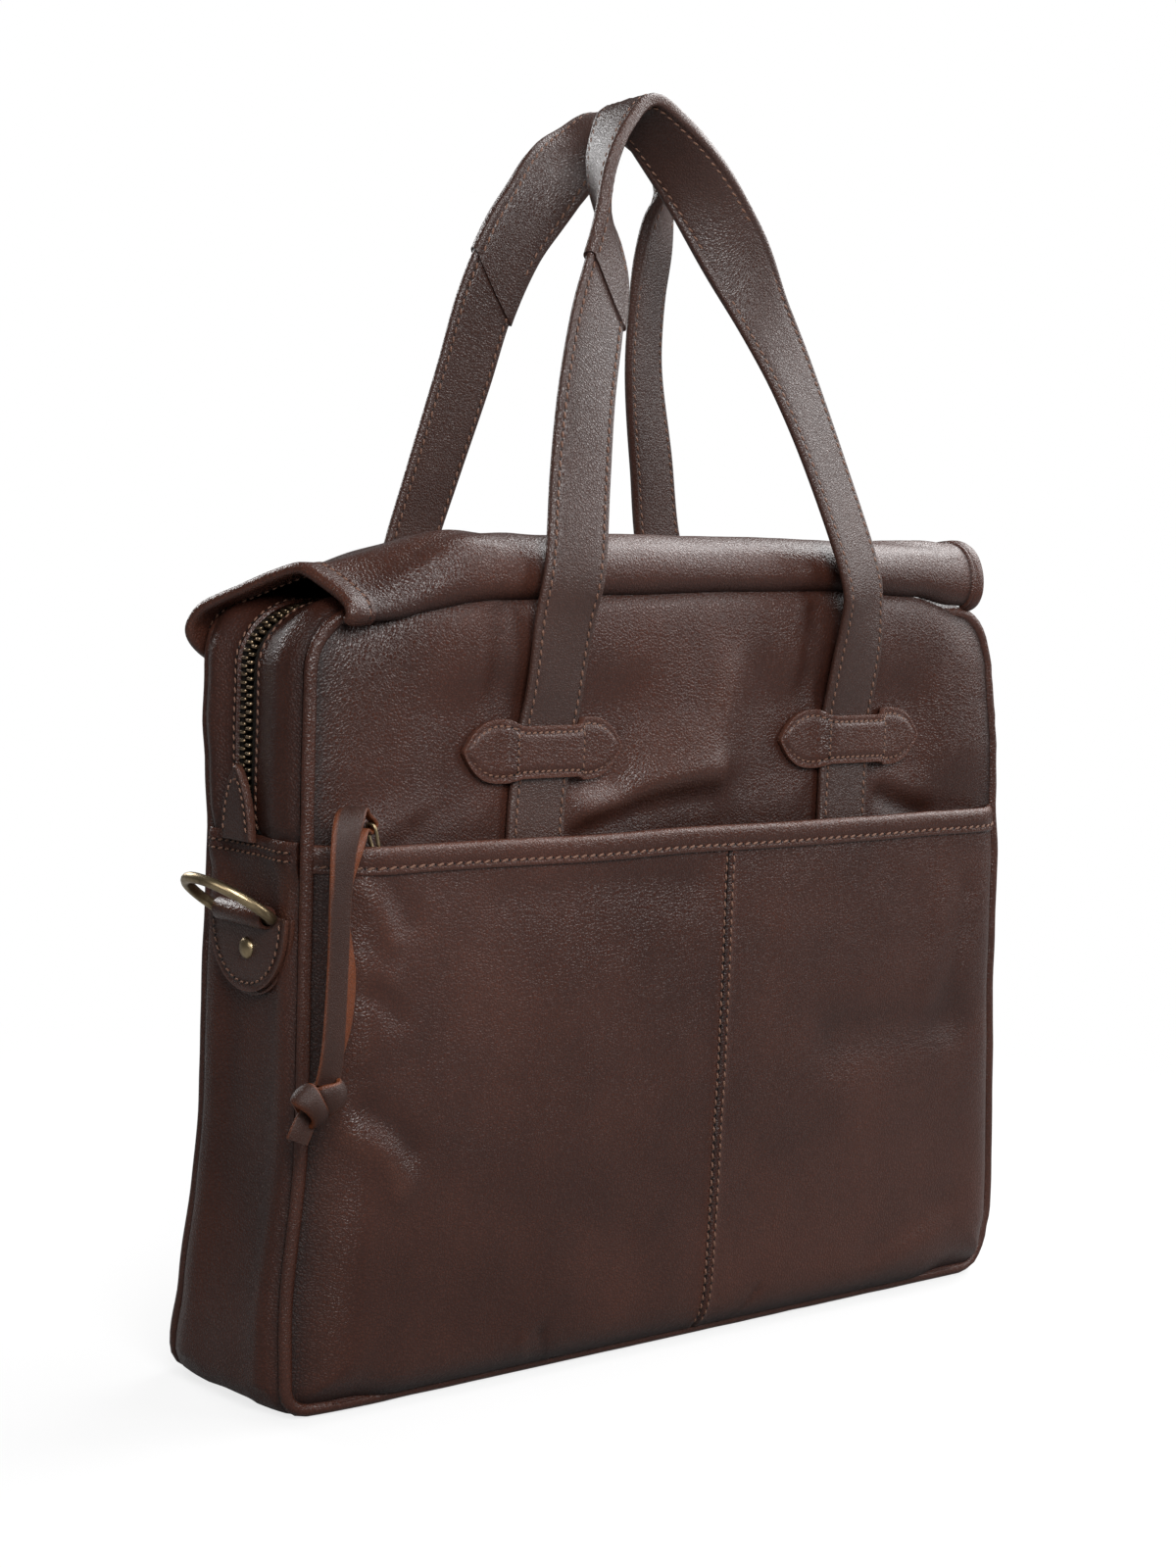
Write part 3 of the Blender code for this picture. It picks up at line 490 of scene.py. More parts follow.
def finish_piece(name, bm, materials, body, stands_for=(), thick=0.0, edge=0.0, lined=False):
    """Make an object of a mesh, give it thickness and round edges, and put it on its body."""
    mesh = bpy.data.meshes.new(name)
    bm.to_mesh(mesh)
    bm.free()
    piece = bpy.data.objects.new(name, mesh)
    bpy.context.scene.collection.objects.link(piece)
    for material in materials:
        mesh.materials.append(material)
    if thick:
        wall = piece.modifiers.new("wall", "SOLIDIFY")
        wall.thickness = thick
        wall.offset = -1.0
        wall.use_quality_normals = True
        wall.material_offset = 1 if lined else 0
    if edge:
        soft = piece.modifiers.new("soft_edge", "BEVEL")
        soft.width = edge
        soft.segments = 2
        soft.limit_method = "ANGLE"
        soft.angle_limit = SOFT_EDGE_ANGLE
    if thick or edge:
        bpy.context.view_layer.update()
        shown = piece.evaluated_get(bpy.context.evaluated_depsgraph_get())
        shaped = bpy.data.meshes.new_from_object(shown)
        piece.modifiers.clear()
        piece.data = shaped
        bpy.data.meshes.remove(mesh)
        shaped.name = name
    piece.data.polygons.foreach_set("use_smooth", [True] * len(piece.data.polygons))
    piece.data.set_sharp_from_angle(angle=SHARP_ANGLE)
    if body:
        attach(piece, body)
    if stands_for:
        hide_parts(*stands_for)
    print(name, len(piece.data.polygons), "faces")
    return piece


# %% [markdown]
# ## Sewing
# Stitches are what make a leather bag read as one. Each is a short piece of cord that leans a little, with
# a dark dot of painted shade for the needle hole at its end. Hundreds are needed, so one stitch is modelled
# once, with few faces, and a copy is laid down at every pitch along a seam line.

# %% Sewing
STITCH_PITCH = 0.0040
FINE_PITCH = 0.0032
STITCH_LENGTH = 0.70
STITCH_RADIUS = 0.00050
STITCH_LEAN = math.radians(14)
STITCH_FLAT = 0.8
STITCH_LIFT = 0.45
HOLE_RADIUS = 0.00050
HOLE_DEPTH = 0.00016
HOLE_LIFT = 0.00002


def one_stitch():
    bm = bmesh.new()
    bmesh.ops.create_uvsphere(bm, u_segments=6, v_segments=4, radius=1.0)
    bmesh.ops.rotate(bm, verts=bm.verts[:], cent=(0, 0, 0), matrix=Matrix.Rotation(math.pi / 2, 3, "Y"))
    return bm


def one_hole():
    bm = bmesh.new()
    bmesh.ops.create_uvsphere(bm, u_segments=6, v_segments=3, radius=1.0)
    for face in bm.faces:
        face.material_index = 1
    return bm


def lay_copy(into, shape, matrix):
    copy = shape.copy()
    bmesh.ops.transform(copy, matrix=matrix, verts=copy.verts[:])
    laid = bpy.data.meshes.new("laid")
    copy.to_mesh(laid)
    copy.free()
    into.from_mesh(laid)
    bpy.data.meshes.remove(laid)


STITCH = one_stitch()
HOLE = one_hole()


def sew(into, line, pitch=STITCH_PITCH, lean=STITCH_LEAN, fat=1.0):
    """Stitches along a line of (x, y, z, nx, ny, nz): places on the leather and the way out of it."""
    spots = evenly(line, pitch)
    for before, after in zip(spots, spots[1:]):
        start, end = Vector(before[:3]), Vector(after[:3])
        out = (Vector(before[3:]) + Vector(after[3:])).normalized()
        along = (end - start).normalized()
        side = out.cross(along).normalized()
        out = along.cross(side)
        turned = math.cos(lean) * along + math.sin(lean) * side
        length = (end - start).length * STITCH_LENGTH / 2
        radius = STITCH_RADIUS * fat
        wide = turned.cross(out) * radius
        middle = (start + end) / 2 + out * radius * STITCH_LIFT
        lay_copy(into, STITCH, axes_at(middle, turned * length, wide, out * radius * STITCH_FLAT))
        # A flat dark dot at the start of each stitch: painted shade for its needle hole.
        wide = side * HOLE_RADIUS * 1.2
        lay_copy(into, HOLE, axes_at(start + out * HOLE_LIFT, along * HOLE_RADIUS, wide, out * HOLE_DEPTH))


def finish_stitches(name, bm, body):
    bmesh.ops.recalc_face_normals(bm, faces=bm.faces[:])
    return finish_piece(name, bm, [sewing_thread, needle_hole_shade], body)


print("one stitch has", len(STITCH.faces), "faces")

# %% [markdown]
# ## Pull thong
# One strip of leather is folded through the wire loop of the pocket's slider, and its two ends are tied
# together. The grain side looks out on the front strand; on the one behind it the orange flesh side shows
# where that strand bows out. It is the only free cord of the bag. Each point of its line also says which
# way the strip's width runs and how wide it is, because it is pinched where it goes through the wire.

# %% Pull thong
STRIP_HALF_THICK = 0.0008
THONG_LINE = [
    (-0.2030, -0.0586, 0.1385, 1.0, 0.0, 0.0, 0.0058),
    (-0.2018, -0.0596, 0.1480, 1.0, 0.1, 0.0, 0.0060),
    (-0.2012, -0.0600, 0.1610, 1.0, 0.1, 0.0, 0.0056),
    (-0.2004, -0.0600, 0.1860, 1.0, 0.0, 0.0, 0.0050),
    (-0.1998, -0.0597, 0.2120, 1.0, -0.1, 0.0, 0.0050),
    (-0.1978, -0.0584, 0.2310, 1.0, -0.2, 0.0, 0.0056),
    (-0.1930, -0.0550, 0.2412, 0.9, -0.5, 0.0, 0.0058),
    (-0.1866, -0.0506, 0.2440, 0.6, -0.8, 0.0, 0.0047),
    (-0.1805, -0.0474, 0.2415, 0.1, -1.0, 0.0, 0.0033),
    (-0.1750, -0.0468, 0.2374, 0.0, -1.0, 0.0, 0.0025),
    (-0.1774, -0.0468, 0.2336, 0.0, -1.0, 0.0, 0.0024),
    (-0.1820, -0.0488, 0.2352, 0.3, -0.9, 0.0, 0.0032),
    (-0.1880, -0.0530, 0.2345, 0.7, -0.6, 0.0, 0.0044),
    (-0.1940, -0.0566, 0.2270, 1.0, -0.2, 0.0, 0.0050),
    (-0.1985, -0.0578, 0.2130, 1.0, 0.0, 0.0, 0.0050),
    (-0.1983, -0.0575, 0.1990, 1.0, 0.1, 0.0, 0.0053),
    (-0.1944, -0.0570, 0.1800, 1.0, 0.2, 0.0, 0.0056),
    (-0.1955, -0.0572, 0.1620, 1.0, 0.2, 0.0, 0.0054),
    (-0.2000, -0.0576, 0.1480, 1.0, 0.2, 0.0, 0.0054),
    (-0.2020, -0.0578, 0.1390, 1.0, 0.1, 0.0, 0.0050),
]
# Across and out in shares of the half width and half thickness, and how much flesh side or cut edge shows.
STRIP_RING = [
    (-1.0, 0.0, 0.95), (-0.95, 0.70, 0.60), (-0.84, 1.0, 0.08), (-0.60, 1.04, 0.0), (0.0, 1.05, 0.0),
    (0.84, 1.0, 0.04), (0.95, 0.70, 0.40), (1.0, 0.0, 0.95), (0.95, -0.70, 1.1), (0.84, -1.0, 1.2),
    (0.0, -1.0, 1.2), (-0.84, -1.0, 1.2), (-0.95, -0.70, 1.1),
]
# The left edge of the front strand curls over below the wire: heights between which its flesh side shows.
CURL_LOW, CURL_HIGH = 0.205, 0.246


def strip_frames(line):
    """Frames along a strip: its line gives place, width direction and half width."""
    frames = []
    for index, point in enumerate(line):
        along = heading(line, index)
        across = Vector(point[3:6])
        across = (across - across.dot(along) * along).normalized()
        frames.append(frame_at(Vector(point[:3]), across, across.cross(along), point[6], STRIP_HALF_THICK))
    return frames


def closed_band(ring, frames, worn):
    """A ring carried along frames as a closed grid; worn(ring point, frame number) is its wear."""
    count = len(ring)

    def place(u, w):
        index = round(w * (len(frames) - 1))
        point = ring[round(u * count) % count]
        return frames[index] @ Vector((point[0], point[1], 0.0)), worn(point, index), 0.0

    bm = new_sheet(count, len(frames) - 1, place)
    bmesh.ops.remove_doubles(bm, verts=bm.verts[:], dist=1e-7)
    fill_ends(bm)
    bmesh.ops.recalc_face_normals(bm, faces=bm.faces[:])
    return bm


thong_points = smooth_line(THONG_LINE, 0.0022)


def thong_wear(point, index):
    curled = point[0] < -0.8 and point[1] > 0.0 and index < len(thong_points) / 2
    height = thong_points[index][2]
    curl = ease(height, CURL_LOW, CURL_LOW + 0.015) * (1 - ease(height, CURL_HIGH - 0.008, CURL_HIGH))
    return max(point[2], 1.1 * curl) if curled else point[2]


thong_mesh = closed_band(STRIP_RING, strip_frames(thong_points), thong_wear)
thong = finish_piece("thong", thong_mesh, [thong_leather], "pocket_thong", ["pull_thong"])

# %% [markdown]
# The knot is the same strip again: a fat diagonal wrap in front, a smaller one that bulges out to the right
# behind it, and a short end that hangs out below on the left. The wraps are round, because the strip is
# rolled in them, and a cut edge shows along each.

# %% Thong knot
KNOT_RING = [
    (-1.0, -0.4, 1.0), (-1.0, 0.4, 1.0), (-0.90, 1.0, 0.25), (-0.55, 1.6, 0.0), (0.0, 1.9, 0.0),
    (0.55, 1.6, 0.0), (0.82, 1.2, 0.10), (0.90, 0.9, 1.0), (1.0, 0.6, 1.1), (1.0, -0.4, 1.0),
    (0.6, -1.0, 0.8), (0.0, -1.0, 0.8), (-0.6, -1.0, 0.8),
]
WRAP_STEPS = 40
WRAP_THICK = 0.0012
KNOT_WRAPS = [
    # centre, half width, half depth, half height of the band, tilt
    (Vector((-0.2112, -0.0592, 0.1314)), 0.0066, 0.0040, 0.0048, math.radians(52)),
    (Vector((-0.2020, -0.0584, 0.1346)), 0.0054, 0.0044, 0.0054, math.radians(-20)),
]
KNOT_ENDS = [
    [
        (-0.2100, -0.0575, 0.1295, -1.0, 0.0, 0.3, 0.0040),
        (-0.2128, -0.0582, 0.1246, -1.0, 0.2, 0.4, 0.0046),
        (-0.2146, -0.0582, 0.1210, -1.0, 0.2, 0.4, 0.0048),
        (-0.2158, -0.0578, 0.1178, -1.0, 0.3, 0.4, 0.0046),
    ],
    [
        (-0.2070, -0.0566, 0.1290, -1.0, 0.0, 0.2, 0.0036),
        (-0.2092, -0.0566, 0.1256, -1.0, -0.2, 0.3, 0.0040),
        (-0.2106, -0.0564, 0.1226, -1.0, -0.2, 0.3, 0.0040),
    ],
]


def knot_wrap(centre, half_width, half_depth, half_height, tilt):
    """A closed band round the strands."""
    frames = []
    for index in range(WRAP_STEPS + 1):
        turn = math.tau * (index % WRAP_STEPS) / WRAP_STEPS
        spot = Vector((half_width * math.cos(turn), half_depth * math.sin(turn), 0.0))
        out = Vector((math.cos(turn) / half_width, math.sin(turn) / half_depth, 0.0)).normalized()
        lean = Matrix.Rotation(tilt, 3, "Y")
        swell = 1.0 + 0.16 * math.sin(2 * turn + tilt)
        across = lean @ Vector((0.0, 0.0, 1.0))
        frames.append(frame_at(centre + lean @ spot, across, lean @ out, half_height * swell, WRAP_THICK))
    return new_sweep(KNOT_RING, frames, closed=True)


knot_mesh = bmesh.new()
for wrap in KNOT_WRAPS:
    lay_copy(knot_mesh, knot_wrap(*wrap), Matrix())
for end in KNOT_ENDS:
    lay_copy(knot_mesh, new_sweep(STRIP_RING, strip_frames(smooth_line(end, 0.0015))), Matrix())
knot = finish_piece("knot", knot_mesh, [thong_leather], "pocket_thong", ["thong_knot"])

# %% [markdown]
# The path of the doubled thong, from the wire to the knot, along the middle of the two strands.

THONG_MIDDLE = [
    (-0.1770, -0.0468, 0.2370),
    (-0.1830, -0.0488, 0.2392),
    (-0.1890, -0.0535, 0.2385),
    (-0.1950, -0.0570, 0.2300),
    (-0.1988, -0.0586, 0.2130),
    (-0.1992, -0.0587, 0.1980),
    (-0.1976, -0.0585, 0.1810),
    (-0.1984, -0.0586, 0.1620),
    (-0.2008, -0.0586, 0.1480),
    (-0.2026, -0.0582, 0.1390),
]
thong_path = [tuple(point) for point in smooth_line(THONG_MIDDLE, 0.005)]

# %% [markdown]
# ## The soft body
# A bag like this is two stiff panels and a ring of thinner gusset leather between them. Its outline is a
# rectangle with rounded corners, tighter at the base. Nothing on it is flat: it is pulled in under the
# handle tabs, bulges between them, and its back edge leans in at mid height. Panels, piping, stitches and
# zip all have to agree on that shape, so it is written once, as functions of place.

# %% Body outline
HALF_WIDTH = -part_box("left_side_gusset")[0].x
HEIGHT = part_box("front_zip_gusset")[1].z
PANEL_FACE = -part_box("front_panel")[0].y
BASE_RADIUS = 0.012
TOP_RADIUS = 0.027
BASE_RUN = HALF_WIDTH - BASE_RADIUS
BASE_TURN = BASE_RUN + BASE_RADIUS * math.pi / 2
SIDE_RUN = BASE_TURN + HEIGHT - BASE_RADIUS - TOP_RADIUS
TOP_TURN = SIDE_RUN + TOP_RADIUS * math.pi / 2
HALF_ROUND = TOP_TURN + HALF_WIDTH - TOP_RADIUS


def round_body(run):
    """Place (x, z) and way out on the outline, a run from the middle of the base by way of the left side."""
    run = run % (2 * HALF_ROUND)
    if run > HALF_ROUND:
        x, z, nx, nz = round_body(2 * HALF_ROUND - run)
        return -x, z, -nx, nz
    if run < BASE_RUN:
        return -run, 0.0, 0.0, -1.0
    if run < BASE_TURN:
        turn = (run - BASE_RUN) / BASE_RADIUS
        nx, nz = -math.sin(turn), -math.cos(turn)
        return -BASE_RUN + BASE_RADIUS * nx, BASE_RADIUS + BASE_RADIUS * nz, nx, nz
    if run < SIDE_RUN:
        return -HALF_WIDTH, BASE_RADIUS + run - BASE_TURN, -1.0, 0.0
    if run < TOP_TURN:
        turn = (run - SIDE_RUN) / TOP_RADIUS
        nx, nz = -math.cos(turn), math.sin(turn)
        return TOP_RADIUS - HALF_WIDTH + TOP_RADIUS * nx, HEIGHT - TOP_RADIUS + TOP_RADIUS * nz, nx, nz
    return -(HALF_WIDTH - TOP_RADIUS) + run - TOP_TURN, HEIGHT, 0.0, 1.0


def run_at_height(z):
    """The run at which the outline goes up through a height of its straight side."""
    return BASE_TURN + z - BASE_RADIUS


def half_width_at(z, inset):
    """Half the width of the outline at a height, with the outline drawn in by an inset."""
    half = HALF_WIDTH - inset
    for radius, drop in ((BASE_RADIUS, BASE_RADIUS - z), (TOP_RADIUS, z - HEIGHT + TOP_RADIUS)):
        if drop > 0:
            small = radius - inset
            half -= small - math.sqrt(max(small**2 - drop**2, 0.0))
    return half


def edge_gap(x, z, over):
    """How far a place on a panel is inside the outline; over is the leather left above it."""
    side = HALF_WIDTH - abs(x)
    for radius, level_gap in ((BASE_RADIUS, z), (TOP_RADIUS, over)):
        if side < radius and level_gap < radius:
            return radius - math.hypot(radius - side, radius - level_gap)
    return min(side, z, over)


print("outline", round(2 * HALF_ROUND, 4), "m round")

# %% [markdown]
# Settling is what years of use did to the shape. Each end leans in at the back at mid height and spreads at
# the base; the front edge of the left end is pushed back, and the right end is drawn in at the top. Each is
# a gentle push that fades out towards the middle of the bag, where the handles and pockets sit.

# %% Settling
# Height and how far the back edge of an end has moved, in metres.
BACK_EDGE_PUSH = [
    (0.000, 0.0030), (0.014, 0.0030), (0.040, -0.0020), (0.082, -0.0044), (0.124, -0.0060),
    (0.165, -0.0058), (0.205, -0.0070), (0.228, -0.0075), (0.253, -0.0048), (0.273, -0.0020),
    (0.290, -0.0030), (0.322, 0.0010),
]
# Height and how far the front edge of the left end has moved.
FRONT_EDGE_PUSH = [
    (0.000, 0.0030), (0.060, 0.0058), (0.120, 0.0052), (0.200, 0.0062), (0.270, 0.0072), (0.310, 0.0074),
]
# Height and how far the right end stands out or, high up, is drawn in.
RIGHT_EDGE_OUT = [
    (0.000, -0.0040), (0.006, -0.0010), (0.018, 0.0026), (0.030, 0.0050), (0.100, 0.0070), (0.150, 0.0040),
    (0.200, 0.0030), (0.233, -0.0005), (0.256, -0.0021), (0.268, -0.0040), (0.280, -0.0062),
    (0.291, -0.0080), (0.303, -0.0104), (0.322, -0.0100),
]
# How far an end stands out at the base, how much further in its middle, and how far the left end of the zip
# is pushed.
END_BELLY = 0.0056
END_ROUND = 0.0036
ZIP_PUSH = 0.0075
# Half the depth over which an end is rounded.
END_HALF = 0.036


def settled(spot):
    """Where a place on the new bag has gone to."""
    x, y, z = spot
    middle = max(1.0 - (y / END_HALF) ** 2, 0.0)
    y_push = ease(abs(x), 0.132, 0.197) * ease(y, -0.006, 0.040) * from_table(BACK_EDGE_PUSH, z)
    if x < 0:
        front = 1.0 - ease(y, -0.044, -0.004)
        near_end = ease(-x, 0.172 - 0.052 * ease(z, 0.226, 0.254), 0.199)
        y_push += front * near_end * from_table(FRONT_EDGE_PUSH, z)
        near_end = ease(-x, 0.150, 0.197) * ease(z, 0.200, 0.230)
        y_push += ZIP_PUSH * middle * near_end * (1 - 0.6 * ease(z, 0.296, 0.322))
    rounded = END_ROUND * middle * (1 - ease(z, 0.010, 0.080)) * ease(abs(x), 0.165, 0.196)
    out = END_BELLY * (1 - ease(z, 0.030, 0.110)) * ease(abs(x), 0.120, 0.196) + rounded
    if x < 0:
        return Vector((x - out, y + y_push, z))
    drawn = from_table(RIGHT_EDGE_OUT, z)
    out += drawn * ease(x, 0.10, 0.20) * (1.0 if drawn < 0 else 1.0 - ease(y, -0.040, -0.016))
    return Vector((x + out, y + y_push, z))


def settle(bm):
    for vert in bm.verts:
        vert.co = settled(vert.co)
    return bm


print("back edge at mid height", round(settled((-HALF_WIDTH, 0.042, 0.2)).y, 4))

# %% [markdown]
# The front panel's own relief: a pillow that falls away to the seam, wells where the tabs hold it down, and
# the folds that the photograph shows. A fold is a line of points with a width and a height, below zero for
# a valley.

# %% Front panel relief
TAB_X = 0.090
TAB_Z = 0.263
TAB_HALF_LENGTH = 0.0425
TAB_HALF_HEIGHT = 0.0125
STRAP_HALF_WIDTH = 0.0150
PILLOW = 0.0046
PANEL_INSET = 0.0045
# How far beside a tab the panel takes to rise again, and how far its folds take.
WELL_FADE = 0.0190
FOLD_FADE = 0.0085
FOLD_REACH = 0.06
# The flap is sewn to the top of the front panel: x and how far the seam is above or below its mean height.
FLAP_SEAM_Z = 0.3258
FLAP_LOW_EDGE = [
    (-0.195, -0.0105), (-0.179, -0.0082), (-0.145, -0.0044), (-0.110, -0.0020), (-0.047, 0.0002),
    (0.021, 0.0019), (0.082, 0.0024), (0.133, 0.0000), (0.159, -0.0038), (0.185, -0.0060),
]
FRONT_FOLDS = [
    ([(-0.0692, 0.2265), (-0.0570, 0.2305), (-0.0446, 0.2335), (-0.0320, 0.2367),
      (-0.0192, 0.2390), (-0.0062, 0.2405), (0.0070, 0.2410)], 0.0060, -0.0022),
    ([(-0.0700, 0.2340), (-0.0600, 0.2385), (-0.0470, 0.2420), (-0.0330, 0.2452),
      (-0.0200, 0.2475), (-0.0060, 0.2495), (0.0080, 0.2505)], 0.0082, 0.0037),
    ([(-0.058, 0.2500), (-0.036, 0.2580), (-0.010, 0.2630)], 0.0150, 0.0018),
    ([(0.006, 0.2640), (0.010, 0.2740), (0.014, 0.2920)], 0.0120, 0.0017),
    ([(0.027, 0.2480), (0.031, 0.2680), (0.033, 0.2920)], 0.0120, -0.0015),
    ([(-0.050, 0.2700), (-0.042, 0.2790), (-0.036, 0.2900)], 0.0070, -0.0007),
    ([(0.1182, 0.2356), (0.1317, 0.2304), (0.1450, 0.2255)], 0.0062, -0.0030),
    ([(0.128, 0.2440), (0.150, 0.2370)], 0.0080, 0.0004),
    ([(-0.1130, 0.3200), (-0.1125, 0.2960), (-0.1140, 0.2800)], 0.0060, -0.0022),
    ([(0.0650, 0.3200), (0.0655, 0.2940), (0.0640, 0.2790)], 0.0060, -0.0022),
    ([(-0.150, 0.2330), (-0.138, 0.2420), (-0.131, 0.2530)], 0.0070, -0.0014),
]


def off_line(x, z, line):
    """The distance from a place to a line of points."""
    least = 1.0
    for (ax, az), (bx, bz) in zip(line, line[1:]):
        dx, dz = bx - ax, bz - az
        share = min(max(((x - ax) * dx + (z - az) * dz) / (dx * dx + dz * dz), 0.0), 1.0)
        least = min(least, math.hypot(x - ax - share * dx, z - az - share * dz))
    return least


def folds_at(x, z, folds):
    """The height of all folds at a place; one whose ends are further off than its reach is left out."""
    total = 0.0
    for line, width, height in folds:
        low, high = sorted((line[0][0], line[-1][0]))
        if low - FOLD_REACH < x < high + FOLD_REACH:
            total += height * hump(off_line(x, z, line), width)
    return total


def unevenness(x, z, seed):
    """Slow random relief, the same each time."""
    slow = noise.noise(Vector((x * 17, z * 17, seed)))
    return slow * 0.6 + noise.noise(Vector((x * 46, z * 46, seed + 9))) * 0.3


def held_by_tab(x, z, fade):
    """How much a handle tab or strap presses a panel down at a place, from 0 to 1, fading out beside it."""
    off_middle = abs(abs(x) - TAB_X)
    past_tab = math.hypot(max(off_middle - TAB_HALF_LENGTH, 0.0), max(abs(z - TAB_Z) - TAB_HALF_HEIGHT, 0.0))
    past_strap = math.hypot(max(off_middle - STRAP_HALF_WIDTH - 0.001, 0.0), max(z - 0.280, 0.0))
    return max(hump(past_tab, fade), hump(past_strap, 0.85 * fade))


def beside_strap(x, z):
    """1 right beside a strap, where it keeps the light off the panel, and 0 further away."""
    return hump(abs(abs(x) - TAB_X) - STRAP_HALF_WIDTH, 0.0050) * ease(z, 0.272, 0.282)


def under_flap(x):
    """How far the front panel runs on above the outline, to the seam of the flap."""
    return (FLAP_SEAM_Z + from_table(FLAP_LOW_EDGE, x) + 0.0049 - HEIGHT) * (1 - ease(abs(x), 0.150, 0.180))


def panel_rise(x, z, over, folds, seed):
    gap = edge_gap(x, z, over) - PANEL_INSET
    pillow = PILLOW * (1.0 - math.exp(-max(gap, 0.0) / 0.013)) * (0.2 + 0.8 * ease(z, 0.224, 0.258))
    soft = ease(gap, 0.001, 0.016)
    slow = (pillow + soft * 0.0009 * unevenness(x, z, seed)) * (1.0 - held_by_tab(x, z, WELL_FADE))
    folded = soft * folds_at(x, z, folds) * (1.0 - held_by_tab(x, z, FOLD_FADE))
    return slow + folded - 0.0008 * (1 - soft)


def front_over(x, z):
    return (HEIGHT + under_flap(x) - z) * (2.2 - 1.2 * ease(abs(x), 0.150, 0.180))


def front_y(x, z):
    return -PANEL_FACE - panel_rise(x, z, front_over(x, z), FRONT_FOLDS, 1.0)


print("front panel between the tabs", round(front_y(0.0, 0.275), 4))

# %% [markdown]
# ## Panels
# Each panel is one sheet of leather with a lining on its inside. It is a grid that fills the rounded
# outline and takes its depth from the relief above. Wear is painted on what stands proud, and painted
# shade in the seam, in the valleys of folds, low down above the pocket rim and beside the straps.

# %% Front and rear panels
REAR_FOLDS = [
    ([(-0.060, 0.2400), (-0.020, 0.2440), (0.030, 0.2430), (0.062, 0.2390)], 0.0065, -0.0034),
    ([(-0.040, 0.2560), (0.010, 0.2600), (0.045, 0.2550)], 0.0110, 0.0020),
    ([(-0.152, 0.2400), (-0.135, 0.2520)], 0.0055, -0.0016),
    ([(0.134, 0.2520), (0.156, 0.2390)], 0.0055, -0.0018),
    ([(0.020, 0.2700), (0.032, 0.2900), (0.028, 0.3080)], 0.0050, -0.0014),
]


def rear_over(x, z):
    return HEIGHT - z


def rear_y(x, z):
    return PANEL_FACE + panel_rise(x, z, rear_over(x, z), REAR_FOLDS, 5.0)


def panel(surface, over, folds):
    def place(u, w):
        z = PANEL_INSET + (HEIGHT - 2 * PANEL_INSET) * w
        x = (2 * u - 1) * half_width_at(z, PANEL_INSET)
        if over is front_over:
            z += under_flap(x) * ease(z, 0.280, HEIGHT - PANEL_INSET)
        gap = edge_gap(x, z, over(x, z)) - PANEL_INSET
        fold = folds_at(x, z, folds)
        wear = 0.26 * ease(fold, 0.0004, 0.0022) + 0.10 * hump(gap - 0.012, 0.010)
        # Painted shade: darker at the seam, in the valleys of folds, low down just above the pocket rim, and
        # beside the straps.
        shade = 0.70 * hump(gap, 0.0032) + 0.40 * hump(gap, 0.0110) + 0.30 * ease(-fold, 0.0006, 0.0030)
        shade += 0.45 * (1 - ease(z, 0.222, 0.246)) + 0.30 * beside_strap(x, z)
        return Vector((x, surface(x, z), z)), wear, min(shade, 1.1)

    return new_sheet(168, 128, place)


front_mesh = settle(face_towards(panel(front_y, front_over, FRONT_FOLDS), (0, -1, 0)))
rear_mesh = settle(face_towards(panel(rear_y, rear_over, REAR_FOLDS), (0, 1, 0)))
PANEL_THICK = 0.0018
faced = [body_leather, lining_cloth]
for name, mesh in (("front", front_mesh), ("rear", rear_mesh)):
    nodes = [f"{name}_panel", f"{name}_lining"]
    finish_piece(f"{name}_face", mesh, faced, "bag", nodes, thick=PANEL_THICK, lined=True)

# %% [markdown]
# ## Pockets
# The pocket leather is sewn in with the panel at the sides and base and stands away from it, so its face
# rolls back to the piping all round. The front one is two pieces joined by a seam a little right of the
# middle; both edges are turned in there, which leaves a groove between two rows of stitches.

# %% Pocket relief
POCKET_TOP = 0.2205
POCKET_FOOT = 0.0396
FRONT_SWELL = 0.0124
REAR_SWELL = 0.0106
FOOT_HANG = 0.0042
# The front pocket's face stands no further than this from the middle of the bag.
POCKET_LIMIT = 0.0530
FRONT_SEED = 12.0
REAR_SEED = 21.0
